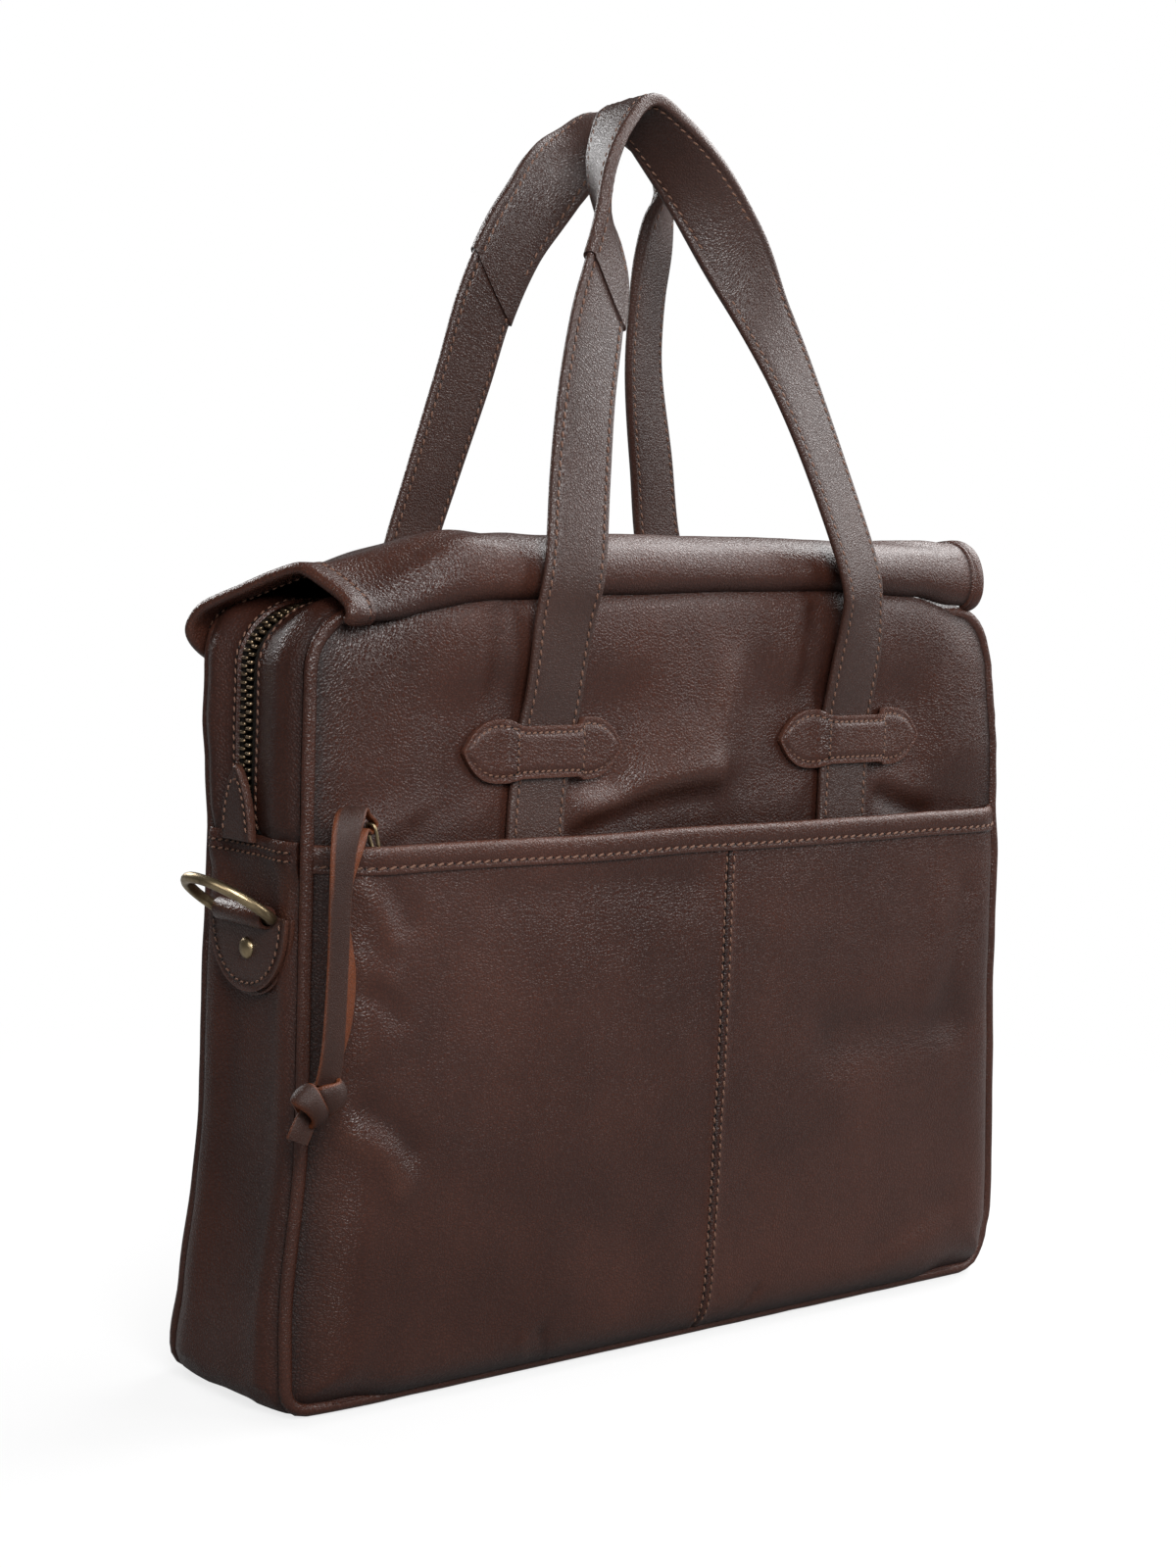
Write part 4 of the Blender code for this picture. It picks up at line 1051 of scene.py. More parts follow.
# How far a row of stitches is from the middle of the seam.
SEAM_ROW = 0.0021
POCKET_FOLDS = [
    ([(-0.1880, 0.1200), (-0.1791, 0.1123), (-0.1663, 0.1048), (-0.1600, 0.0921)], 0.0072, 0.0012),
    ([(-0.1780, 0.1240), (-0.1660, 0.1170), (-0.1560, 0.1060)], 0.0060, -0.0014),
    ([(-0.1830, 0.1825), (-0.1700, 0.1756)], 0.0075, 0.0009),
    ([(-0.1795, 0.1610), (-0.1804, 0.1475)], 0.0075, 0.0008),
    ([(-0.1740, 0.1690), (-0.1640, 0.1600)], 0.0055, -0.0010),
    ([(-0.1862, 0.2174), (-0.1789, 0.2112), (-0.1686, 0.1912)], 0.0050, 0.0012),
    ([(-0.1700, 0.2150), (-0.1600, 0.1980)], 0.0060, -0.0010),
    ([(0.1560, 0.1880), (0.1493, 0.1580), (0.1465, 0.1406)], 0.0090, 0.0009),
    ([(0.1640, 0.1880), (0.1570, 0.1560), (0.1550, 0.1300)], 0.0090, -0.0012),
    ([(0.0850, 0.1290), (0.1600, 0.1290)], 0.0150, -0.0016),
    ([(0.1520, 0.0290), (0.1248, 0.0160), (0.1000, 0.0080)], 0.0080, 0.0010),
    ([(0.1600, 0.0420), (0.1400, 0.0300), (0.1150, 0.0230)], 0.0090, -0.0008),
    ([(-0.0830, 0.0190), (-0.0760, 0.0060)], 0.0030, -0.0014),
    ([(-0.0930, 0.0170), (-0.0870, 0.0070)], 0.0032, 0.0010),
    ([(0.0420, 0.0170), (0.0320, 0.0060)], 0.0030, -0.0012),
    ([(-0.1150, 0.2040), (-0.0500, 0.2075), (-0.0050, 0.2050)], 0.0120, -0.0008),
]
REAR_POCKET_FOLDS = [
    ([(-0.120, 0.2000), (-0.040, 0.2060), (0.060, 0.2030)], 0.0120, -0.0009),
    ([(0.150, 0.0360), (0.120, 0.0200), (0.090, 0.0120)], 0.0050, 0.0012),
    ([(-0.165, 0.1500), (-0.152, 0.1280), (-0.158, 0.1040)], 0.0060, 0.0012),
    ([(-0.060, 0.0200), (-0.052, 0.0080)], 0.0030, -0.0012),
]
# Height and the x of the front pocket's seam, which leans a little.
POCKET_SEAM = [(0.005, 0.0104), (0.090, 0.0121), (0.126, 0.0132), (0.216, 0.0136)]


def base_gap(x, z):
    """How far a place on a pocket is inside the sides and base of the outline."""
    side = HALF_WIDTH - abs(x)
    if side < BASE_RADIUS and z < BASE_RADIUS:
        return BASE_RADIUS - math.hypot(BASE_RADIUS - side, BASE_RADIUS - z)
    return min(side, z)


def over_base(x):
    """1 along the middle of the base, where the pocket hangs over the piping, and 0 at the corners."""
    return 1.0 - ease(abs(x), 0.150, 0.172)


def pocket_out(x, z, swell, folds, seed):
    gap = max(base_gap(x, z) - PANEL_INSET, 0.0)
    roll = swell * (1.0 - math.exp(-(((gap + FOOT_HANG * over_base(x)) / 0.0088) ** 1.3)))
    soft = ease(gap, 0.002, 0.016)
    mouth = 1.0 - 0.8 * ease(z, 0.205, 0.222)
    return POCKET_FOOT + roll + soft * mouth * (folds_at(x, z, folds) + 0.0009 * unevenness(x, z, seed))


def seam_x(z):
    return from_table(POCKET_SEAM, z)


def pocket_y(x, z):
    off_seam = abs(x - seam_x(z))
    pucker = 0.00016 * math.sin(z * math.tau / STITCH_PITCH) * hump(off_seam - SEAM_ROW, 0.0016)
    groove = -0.0011 * hump(off_seam, 0.0010) + 0.00045 * hump(off_seam - 0.0022, 0.0017) + pucker
    return -min(pocket_out(x, z, FRONT_SWELL, POCKET_FOLDS, FRONT_SEED) + groove, POCKET_LIMIT)


def rear_pocket_y(x, z):
    return pocket_out(x, z, REAR_SWELL, REAR_POCKET_FOLDS, REAR_SEED)


print("pocket face stands at", round(pocket_y(-0.08, 0.12), 4), "and", round(rear_pocket_y(0.0, 0.12), 4))


# %% Pocket panels
def pocket_part(surface, folds, left, right, across, seam=False):
    """A pocket panel between two lines given as shares of the half width, or the seam."""

    def place(u, w):
        z = PANEL_INSET + (POCKET_TOP - PANEL_INSET) * w
        half = half_width_at(z, PANEL_INSET)
        low = seam_x(z) + 0.0002 if left is None else left * half
        high = seam_x(z) - 0.0002 if right is None else right * half
        x = low + (high - low) * u
        gap = base_gap(x, z) - PANEL_INSET
        fold = folds_at(x, z, folds)
        wear = 0.30 * ease(fold, 0.0003, 0.0013) + 0.16 * hump(gap - 0.010, 0.007)
        # Painted shade beside the piping, in the valleys of folds and in the groove of the seam.
        shade = 0.70 * hump(gap, 0.0036) + 0.30 * hump(gap, 0.0110) + 0.25 * ease(-fold, 0.0004, 0.0014)
        if seam:
            off_seam = abs(x - seam_x(z))
            wear += 0.30 * hump(off_seam - 0.0026, 0.0016)
            shade += 0.8 * hump(off_seam, 0.0009)
        return Vector((x, surface(x, z), z)), wear, shade

    return new_sheet(across, 120, place)


POCKET_THICK = 0.0016
pocket_left = settle(face_towards(pocket_part(pocket_y, POCKET_FOLDS, -1.0, None, 150, True), (0, -1, 0)))
pocket_right = settle(face_towards(pocket_part(pocket_y, POCKET_FOLDS, None, 1.0, 136, True), (0, -1, 0)))
pocket_rear = settle(face_towards(pocket_part(rear_pocket_y, REAR_POCKET_FOLDS, -1.0, 1.0, 150), (0, 1, 0)))
for name, mesh, node in (
    ("left", pocket_left, "front_pocket_left_panel"),
    ("right", pocket_right, "front_pocket_right_panel"),
    ("rear", pocket_rear, "rear_pocket_panel"),
):
    finish_piece(f"pocket_{name}", mesh, faced, "bag", [node], thick=POCKET_THICK, lined=True)

# %% [markdown]
# A strip of leather is folded over the top of each pocket and sewn through near its lower edge. Its section
# is a hook, swept along the mouth of the pocket by the grid, and the fold on top is rubbed.

# %% Pocket rims
RIM_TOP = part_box("front_pocket_binding")[1].z
# The height at which the pocket's face gives the rim its place.
RIM_SEAT = RIM_TOP - 0.006
# Distance out from the pocket's face, height below the top, wear.
RIM_SECTION = [
    (0.0002, -0.0108, 0.0), (0.0011, -0.0106, 0.35), (0.0015, -0.0098, 0.30), (0.0013, -0.0084, 0.10),
    (0.0012, -0.0076, 0.05), (0.0016, -0.0060, 0.15), (0.0018, -0.0036, 0.20), (0.0016, -0.0016, 0.35),
    (0.0009, -0.0003, 0.75), (-0.0004, 0.0004, 0.85), (-0.0018, 0.0003, 0.60), (-0.0028, -0.0007, 0.30),
    (-0.0032, -0.0026, 0.10), (-0.0032, -0.0060, 0.0), (-0.0032, -0.0100, 0.0),
]
RIM_STITCH_DROP = 0.0080
RIM_STITCH_OUT = 0.00125
RIM_STITCH_LEAN = math.radians(17)
RIM_PITCH = 0.0047


def rim_wave(x, seed):
    return 0.0007 * noise.noise(Vector((x * 21, 0.4, seed)))


def rim(surface, side, seed):
    def place(u, w):
        step = w * (len(RIM_SECTION) - 1)
        first = RIM_SECTION[int(step)]
        second = RIM_SECTION[min(int(step) + 1, len(RIM_SECTION) - 1)]
        out, drop, wear = (a + (b - a) * (step - int(step)) for a, b in zip(first, second))
        x = (2 * u - 1) * (HALF_WIDTH - PANEL_INSET + 0.0005)
        y = surface(x, RIM_SEAT) + side * out
        return Vector((x, y, RIM_TOP + drop + rim_wave(x, seed))), wear, 0.0

    return new_sheet(150, 2 * (len(RIM_SECTION) - 1), place)


def rim_line(surface, side, seed):
    line = []
    for index in range(-97, 98):
        x = 0.002 * index
        slope = (surface(x + 0.001, RIM_SEAT) - surface(x - 0.001, RIM_SEAT)) / 0.002
        y = surface(x, RIM_SEAT) + side * RIM_STITCH_OUT
        spot = settled((x, y, RIM_TOP - RIM_STITCH_DROP + rim_wave(x, seed)))
        line.append((*spot, *Vector((-side * slope, side, 0.0)).normalized()))
    return line if side < 0 else line[::-1]


def smooth_front_rim(x, z):
    return -min(pocket_out(x, z, FRONT_SWELL, (), FRONT_SEED), POCKET_LIMIT)


def smooth_rear_rim(x, z):
    return pocket_out(x, z, REAR_SWELL, (), REAR_SEED)


bag_stitches = bmesh.new()
for name, surface, side, seed in (("front", smooth_front_rim, -1, 31.0), ("rear", smooth_rear_rim, 1, 37.0)):
    rim_mesh = settle(face_towards(rim(surface, side, seed), (0, side, 1)))
    finish_piece(f"{name}_rim", rim_mesh, [body_leather], "bag", [f"{name}_pocket_binding"], thick=0.0009)
    sew(bag_stitches, rim_line(surface, side, seed), RIM_PITCH, RIM_STITCH_LEAN, 1.1)


def seam_row(offset):
    line = []
    for index in range(0, 105):
        z = RIM_TOP - 0.0125 - 0.002 * index
        x = seam_x(z) + offset
        spot = settled((x, pocket_y(x, z), z))
        slope = (pocket_y(x, z + 0.001) - pocket_y(x, z - 0.001)) / 0.002
        line.append((*spot, *Vector((0.0, -1.0, slope)).normalized()))
    return line


for offset in (-SEAM_ROW, SEAM_ROW):
    sew(bag_stitches, seam_row(offset))
print("rims and pocket seam sewn", len(bag_stitches.faces), "faces")

# %% [markdown]
# ## Gussets
# The ring between the panels is four pieces: one for each side, one for the base, and a pair of strips with
# the zip between them. The side piece's turned edge laps over the zip strips and over the base piece and is
# sewn with two rows. Beside the piping the leather stands up in a soft roll.

# %% Gussets
GUSSET_HALF = 0.0368
LAP_Z = 0.2290
LAP_X = 0.1720
# How far the zip strips run on under the lap.
LAP_UNDER = 0.007
SLOT_HALF = 0.0060
# A row of stitches, this far from the slot of the zip.
SLOT_ROW = 0.0026
# Two rows of stitches, this far in from the edge of the lap.
LAP_ROWS = (0.0044, 0.0078)
BASE_HALF = 0.0418
BASE_UPTURN = 0.0040


def gusset_out(y, run):
    roll = 0.0018 * hump(abs(y) - 0.0270, 0.0090) - 0.0016 * ease(abs(y), 0.0325, GUSSET_HALF)
    hollow = -0.0010 * max(1.0 - (y / 0.026) ** 2, 0.0)
    soft = 0.0009 * noise.noise(Vector((y * 38, run * 9, 3.0)))
    soft += 0.0003 * noise.noise(Vector((y * 90, run * 30, 8.0)))
    return roll + hollow + soft


def on_gusset(run, y, out):
    x, z, nx, nz = round_body(run)
    if nz < -0.2 and out > 0:
        out *= 0.1
    return Vector((x + nx * out, y, z + nz * out))


def gusset(start, end, low_y, high_y, along, across, lift):
    """A gusset sheet from one run to another, lifted or sunk by lift(run, y)."""

    def place(u, w):
        run = start + (end - start) * u
        y = low_y + (high_y - low_y) * w
        # Painted shade along the seam with the piping at both edges.
        seam = hump(abs(y) - GUSSET_HALF, 0.0026)
        wear = 0.10 * hump(abs(y) - 0.0300, 0.0060)
        height, extra_wear, extra_shade = lift(run, y)
        return on_gusset(run, y, gusset_out(y, run) + height), wear + extra_wear, 0.45 * seam + extra_shade

    return new_sheet(along, across, place)


def side_lift(start, end):
    def lift(run, y):
        near = min(abs(run - start), abs(run - end))
        turned = -0.0011 * hump(near, 0.0007)
        sewn = -0.0005 * hump(near - LAP_ROWS[0], 0.0010) - 0.0005 * hump(near - LAP_ROWS[1], 0.0010)
        over = 0.0017 * (1 - ease(near, 0.007, 0.018))
        # The turned edge of the lap is rubbed, and its light line is partly painted highlight; a thin line
        # of painted shade lies a little past the second row of stitches.
        return turned + sewn + over, 0.75 * hump(near - 0.0006, 0.0009), 0.3 * hump(near - 0.0100, 0.0014)

    return lift


def zip_lift(start, end):
    def lift(run, y):
        near = min(run - start, end - run)
        off_slot = abs(y) - SLOT_HALF
        under = -0.0016 * (1 - ease(near, 0.004, 0.016))
        folded = -0.0008 * hump(off_slot, 0.0007) + 0.0006 * hump(off_slot - 0.0016, 0.0014)
        groove = -0.0005 * hump(off_slot - SLOT_ROW, 0.0008)
        pillow = 0.0016 * hump(abs(y) - 0.0215, 0.0080)
        # The zip strips are a little darker all over, and painted shade lies along the edge of the lap over
        # them.
        shade = 0.2 + 0.7 * hump(near - LAP_UNDER, 0.0026)
        return under + folded + groove + pillow, 0.35 * hump(off_slot, 0.0012), shade

    return lift


def base_sheet():
    """The base leather lies on the floor and turns up at its front and rear edges, under the pockets."""

    def place(u, w):
        x, y = (2 * u - 1) * (LAP_X + 0.006), (2 * w - 1) * BASE_HALF
        return Vector((x, y, 0.0004 + BASE_UPTURN * ease(abs(y), 0.0385, BASE_HALF))), 0.0, 0.0

    return new_sheet(90, 60, place)


zip_start = run_at_height(LAP_Z - LAP_UNDER)
zip_end = 2 * HALF_ROUND - zip_start
left_ends = (LAP_X, run_at_height(LAP_Z))
right_ends = (2 * HALF_ROUND - left_ends[1], 2 * HALF_ROUND - left_ends[0])
for name, sign, ends in (("left", -1, left_ends), ("right", 1, right_ends)):
    side_mesh = gusset(*ends, -GUSSET_HALF, GUSSET_HALF, 110, 44, side_lift(*ends))
    settle(face_towards(side_mesh, (sign, 0, 0)))
    node = f"{name}_side_gusset"
    finish_piece(f"{name}_side", side_mesh, faced, "bag", [node], thick=PANEL_THICK, lined=True)
for name, sign in (("front", -1), ("rear", 1)):
    strip = sorted((sign * GUSSET_HALF, sign * SLOT_HALF))
    strip_mesh = gusset(zip_start, zip_end, *strip, 190, 26, zip_lift(zip_start, zip_end))
    settle(face_towards(strip_mesh, (0, 0, 1)))
    node = f"{name}_zip_gusset"
    finish_piece(f"{name}_zip_strip", strip_mesh, faced, "bag", [node], thick=PANEL_THICK, lined=True)
base_mesh = base_sheet()
settle(face_towards(base_mesh, (0, 0, -1)))
finish_piece("base_leather", base_mesh, faced, "bag", ["bottom_gusset"], thick=PANEL_THICK, lined=True)


def gusset_row(points, lift):
    """A stitch line over the gusset through (run, y) points, on leather that is lifted by lift(run, y)."""
    line = []
    for run, y in points:
        _, _, nx, nz = round_body(run)
        height = gusset_out(y, run) + lift(run, y)[0] + STITCH_RADIUS
        line.append((*settled(on_gusset(run, y, height)), nx, 0.0, nz))
    return line


LAP_ROW_HALF = 0.0345
LAP_PITCH = 0.0036
SLOT_PITCH = 0.0038
for ends in (left_ends, right_ends):
    for back in LAP_ROWS:
        for run in (ends[1] - back, ends[0] + back):
            row = [(run, y) for y in spread(-LAP_ROW_HALF, LAP_ROW_HALF, 60)]
            sew(bag_stitches, gusset_row(row, side_lift(*ends)), LAP_PITCH)
for sign in (-1, 1):
    row = [(run, sign * (SLOT_HALF + SLOT_ROW)) for run in spread(zip_start + 0.008, zip_end - 0.008, 400)]
    sew(bag_stitches, gusset_row(row, zip_lift(zip_start, zip_end)), SLOT_PITCH)
print("gussets sewn", len(bag_stitches.faces), "faces")

# %% [markdown]
# ## Piping
# A cord covered in leather is caught in the seam all round each panel. It is a ring swept round the
# outline, settled with the rest, and rubbed redder than the panels.

# %% Piping
PIPING_RADIUS = 0.0028


def piping(side):
    middle = side * (PANEL_FACE - 0.0021)
    frames = []
    count = 300
    for index in range(count + 1):
        x, z, nx, nz = round_body(2 * HALF_ROUND * (index % count) / count)
        inset = -PIPING_RADIUS - 0.0002
        swell = 1.0 + 0.07 * noise.noise(Vector((x * 60, side, z * 60)))
        out = Vector((nx, 0.0, nz))
        hidden = 0.0034 * ease(nz, 0.5, 0.95) * over_base(x)
        spot = Vector((x + nx * inset, middle - side * hidden, z + nz * inset))
        frames.append(frame_at(spot, Vector((0.0, side, 0.0)), out, swell, swell))
    return settle(new_sweep(round_ring(PIPING_RADIUS, 12, 0.22), frames, closed=True))


finish_piece("front_cord_edge", piping(-1), [body_leather], "bag", ["front_piping"])
finish_piece("rear_cord_edge", piping(1), [body_leather], "bag", ["rear_piping"])

# %% [markdown]
# ## Main zip
# A coarse metal zip runs from end to end over the top. Each tooth is a small bevelled block clamped to the
# edge of a woven tape; the two rows are half a pitch apart so that they mesh. One tooth is modelled and
# laid down along the slot.

# %% Main zip
TOOTH_PITCH = 0.0033
# How far a tooth is from the slot's middle, how deep teeth and tape lie, and how much they rise at the ends.
TOOTH_OFF = 0.0020
TOOTH_SINK = -0.0026
TAPE_SINK = -0.0036
END_RISE = 0.0016
ZIP_LOW_Z = 0.2440


def round_edges(bm, edges, width, segments, clamp=False):
    bmesh.ops.bevel(
        bm, geom=edges, offset=width, affect="EDGES", segments=segments,
        profile=0.5, material=-1, clamp_overlap=clamp,
    )


def one_tooth(reach, along, height):
    """A tooth that lies along x, reaches over y and stands up in z."""
    bm = bmesh.new()
    wear = bm.verts.layers.float.new("wear")
    bmesh.ops.create_cube(bm, size=1.0)
    bmesh.ops.scale(bm, vec=(along, reach, height), verts=bm.verts[:])
    nib = [vert for vert in bm.verts if vert.co.y > 0 and vert.co.z > 0]
    bmesh.ops.scale(bm, vec=(0.75, 1.0, 0.8), verts=nib)
    round_edges(bm, bm.edges[:], min(along, height) * 0.2, 1)
    for vert in bm.verts:
        vert[wear] = ease(vert.co.z, -0.1 * height, 0.4 * height)
    return bm


def zip_teeth(sign):
    tooth = one_tooth(0.0036, 0.0015, 0.0024)
    row = bmesh.new()
    start = run_at_height(ZIP_LOW_Z)
    count = int((2 * HALF_ROUND - 2 * start) / TOOTH_PITCH)
    for index in range(count):
        run = start + TOOTH_PITCH * (index + (0.5 if sign > 0 else 0.0))
        _, _, nx, nz = round_body(run)
        out = Vector((nx, 0.0, nz))
        inward = Vector((0.0, -sign, 0.0))
        spot = on_gusset(run, sign * TOOTH_OFF, TOOTH_SINK + END_RISE * ease(abs(nx), 0.3, 0.9))
        lay_copy(row, tooth, axes_at(spot, inward.cross(out), inward, out))
    return settle(row)


def zip_tape(sign):
    def place(u, w):
        run = run_at_height(LAP_Z) + (2 * HALF_ROUND - 2 * run_at_height(LAP_Z)) * u
        y = sign * (0.0030 + 0.0098 * w)
        rise = END_RISE * ease(abs(round_body(run)[2]), 0.3, 0.9)
        return on_gusset(run, y, TAPE_SINK + rise + 0.0003 * hump(w - 0.12, 0.1)), 0.0, 0.0

    return settle(face_towards(new_sheet(180, 8, place), (0, 0, 1)))


for name, sign in (("front", -1), ("rear", 1)):
    teeth = zip_teeth(sign)
    finish_piece(f"{name}_teeth", teeth, [zip_metal], "bag", [f"main_zip_{name}_teeth"])
    node = f"main_zip_{name}_tape"
    finish_piece(f"{name}_tape", zip_tape(sign), [zip_cloth], "bag", [node], thick=0.0007)

# %% [markdown]
# A pointed leather tab covers each end of the zip. Its foot is caught in the lap seam and its edge is
# stitched.

# %% Zip end tabs
END_TAB_HALF = 0.0122
END_TAB_HEIGHT = 0.0300
END_TAB_FOOT = 0.2262
END_TAB_THICK = 0.0024


def end_tab_half(share):
    return END_TAB_HALF * max(1.0 - share**1.7, 0.0) ** 0.72


def end_tab_spot(sign, y, z, out):
    return settled(on_gusset(run_at_height(z) if sign < 0 else 2 * HALF_ROUND - run_at_height(z), y, out))


def end_tab(sign):
    def place(u, w):
        share = 0.992 * math.sin(w * math.pi / 2)
        half = end_tab_half(share)
        y = half * math.sin((u - 0.5) * math.pi)
        z = END_TAB_FOOT + END_TAB_HEIGHT * share
        rim_gap = min(half - abs(y), END_TAB_HEIGHT * (1 - share))
        out = 0.0046 - 0.0009 * hump(rim_gap, 0.0008) - 0.0004 * hump(rim_gap - 0.0027, 0.0008)
        return end_tab_spot(sign, y, z, out), 0.55 * hump(rim_gap, 0.0014), 0.0

    return face_towards(new_sheet(26, 30, place), (sign, 0, 0))


def end_tab_row(sign):
    shares = spread(0.10, 0.80, 30)
    right = [(max(end_tab_half(share) - 0.0029, 0.0), share) for share in shares]
    loop = right + [(-y, share) for y, share in right[::-1]]
    spots = [end_tab_spot(sign, y, END_TAB_FOOT + END_TAB_HEIGHT * share, 0.0043) for y, share in loop]
    return [(*spot, sign, 0.0, 0.0) for spot in spots]


for name, sign in (("left", -1), ("right", 1)):
    piece_name = f"{name}_end_tab"
    node = f"{name}_zip_end_tab"
    tab_mesh = end_tab(sign)
    finish_piece(piece_name, tab_mesh, [strap_leather], "bag", [node], thick=END_TAB_THICK, edge=0.0004)
    sew(bag_stitches, end_tab_row(sign), FINE_PITCH)

# %% [markdown]
# ## Small metal parts
# Sliders, the pulls of the main zip and the tapes of the pocket zip keep the shape they have in the CAD
# frame. A copy of the CAD mesh is merged. The flat faces of the metal are then joined and its edges are
# bevelled, so light catches them as on a casting, and the tapes are settled with the bag.


# %% Sliders, pulls and pocket zip
FLAT_ANGLE = math.radians(3)
EDGE_ANGLE = math.radians(28)


def softened(node, width):
    """A bevelled brass copy of a CAD node, on the body of the same name."""
    bm = bmesh.new()
    bm.from_mesh(bpy.data.objects[node].data)
    bmesh.ops.remove_doubles(bm, verts=bm.verts[:], dist=1e-6)
    bmesh.ops.dissolve_limit(
        bm, angle_limit=FLAT_ANGLE, use_dissolve_boundaries=False, verts=bm.verts[:], edges=bm.edges[:]
    )
    sharp = [edge for edge in bm.edges if edge.is_manifold and edge.calc_face_angle(0.0) > EDGE_ANGLE]
    round_edges(bm, sharp, width, 2, True)
    wear = bm.verts.layers.float.new("wear")
    for vert in bm.verts:
        vert[wear] = 0.5
    finish_piece(f"{node}_soft", bm, [brass], node, [node])


for side_name in ("left", "right"):
    for part in ("slider", "pull"):
        softened(f"{side_name}_main_{part}", 0.0004)
softened("pocket_slider", 0.0003)
for name in ("front", "rear"):
    node = f"pocket_zip_{name}_tape"
    tape_mesh = bmesh.new()
    tape_mesh.from_mesh(bpy.data.objects[node].data)
    bmesh.ops.remove_doubles(tape_mesh, verts=tape_mesh.verts[:], dist=1e-6)
    long_edges = [edge for edge in tape_mesh.edges if edge.calc_length() > 0.1]
    bmesh.ops.subdivide_edges(tape_mesh, edges=long_edges, cuts=60, use_grid_fill=True)
    settle(tape_mesh)
    finish_piece(f"pocket_{name}_tape", tape_mesh, [zip_cloth], "bag", [node])
base_object = bpy.data.objects["base_board"]
base_object.data.materials.clear()
base_object.data.materials.append(fibre_board)


POCKET_TOOTH_PITCH = 0.0026


def pocket_teeth(node, sign):
    low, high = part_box(node)
    middle = (low + high) / 2
    tooth = one_tooth(0.0022, 0.0013, 0.0016)
    row = bmesh.new()
    up = Vector((0.0, 0.0, 1.0))
    inward = Vector((0.0, -sign, 0.0))
    for index in range(int((high.x - low.x) / POCKET_TOOTH_PITCH)):
        x = low.x + POCKET_TOOTH_PITCH * (index + (0.25 if sign < 0 else 0.75))
        lay_copy(row, tooth, axes_at(Vector((x, middle.y, middle.z)), inward.cross(up), inward, up))
    return settle(row)


for name, sign in (("front", -1), ("rear", 1)):
    node = f"pocket_zip_{name}_teeth"
    finish_piece(f"pocket_{name}_teeth", pocket_teeth(node, sign), [brass], "bag", [node])

# %% [markdown]
# The pocket slider's pull is a bent wire, narrow at the slider and wider at the top where the thong goes
# through.

# %% Wire loop
WIRE_RADIUS = 0.00075
WIRE_LINE = [
    (-0.1720, -0.0462, 0.2200),
    (-0.1728, -0.0455, 0.2235),
    (-0.1745, -0.0443, 0.2290),
    (-0.1761, -0.0440, 0.2345),
    (-0.1770, -0.0450, 0.2368),
    (-0.1772, -0.0468, 0.2372),
    (-0.1770, -0.0486, 0.2368),
    (-0.1761, -0.0494, 0.2345),
    (-0.1745, -0.0491, 0.2290),
    (-0.1728, -0.0481, 0.2235),
    (-0.1720, -0.0474, 0.2200),
]


def line_frames(points):
    """Frames along a round line; the side vector only keeps them from twisting."""
    side = Vector((1.0, 0.0, 0.0))
    frames = []
    for index, point in enumerate(points):
        along = heading(points, index)
        across = (side - side.dot(along) * along).normalized()
        frames.append(frame_at(Vector(point[:3]), across, along.cross(across)))
    return frames


wire_points = smooth_line(WIRE_LINE, 0.0011)
wire_mesh = new_sweep(round_ring(WIRE_RADIUS, 8, 0.7), line_frames(wire_points))
finish_piece("wire_loop", wire_mesh, [brass], "pocket_pull", ["pocket_pull_loop"])

# %% [markdown]
# ## Handles
# Each handle is one long strap: it starts behind the pocket rim, runs up under its tab, stands away from
# the panel, turns on its way up so that it lies flat in the hand at the top, and comes down again. The line
# carries that turn as a fourth number. The strap is flat leather with rounded, turned edges and a row of
# stitches beside each one.

# %% Handle lines
STRAP_HALF_THICK = 0.0021
STRAP_FOOT = [
    # x, distance from the middle of the bag, z
    (0.0900, 0.0436, 0.2195), (0.0900, 0.0436, 0.2400), (0.0900, 0.0437, 0.2600), (0.0900, 0.0440, 0.2730),
    (0.0899, 0.0464, 0.2850), (0.0894, 0.0496, 0.3000), (0.0880, 0.0528, 0.3180),
]
# The front left end runs up through its tab on a slant.
FRONT_LEFT_FOOT = [
    (0.0905, 0.0436, 0.2195), (0.0898, 0.0436, 0.2400), (0.0878, 0.0437, 0.2600), (0.0856, 0.0440, 0.2730),
    (0.0846, 0.0460, 0.2850), (0.0846, 0.0486, 0.3000), (0.0848, 0.0518, 0.3180),
]
# The strap starts to turn at the first height and has the turn of the handle's first point at the second.
TURN_LOW_Z = 0.290
HANDLE_LOW_Z = 0.338
HANDLE_STEP = 0.004
HANDLE_TOP_Z = 0.5315
LEAN_LOW = 0.0550
LEAN_TOP = 0.0175
# x, z and turn in degrees, up the left leg and down the right one.
FRONT_HANDLE = [
    (-0.0832, 0.338, -6), (-0.0764, 0.374, -6), (-0.0688, 0.408, -2), (-0.0596, 0.438, 3),
    (-0.0526, 0.458, 14), (-0.0503, 0.473, 32), (-0.0504, 0.485, 49), (-0.0490, 0.500, 62),
    (-0.0428, 0.516, 74), (-0.0300, 0.5305, 84), (-0.0160, 0.5215, 70), (0.0040, 0.501, 48),
    (0.0220, 0.475, 26), (0.0360, 0.450, 5), (0.0512, 0.422, -8), (0.0670, 0.385, -14),
    (0.0830, 0.338, -14),
]
REAR_HANDLE = [
    (-0.0846, 0.338, 8), (-0.0772, 0.376, 5), (-0.0690, 0.415, 0), (-0.0632, 0.447, -3),
    (-0.0541, 0.473, -6), (-0.0437, 0.490, -12), (-0.0342, 0.504, -32), (-0.0217, 0.5168, -62),
    (-0.0070, 0.5295, -84), (0.0130, 0.5205, -76), (0.0262, 0.503, -44), (0.0278, 0.482, -26),
    (0.0290, 0.455, -20), (0.0340, 0.423, -17), (0.0470, 0.385, -10), (0.0650, 0.338, -6),
]


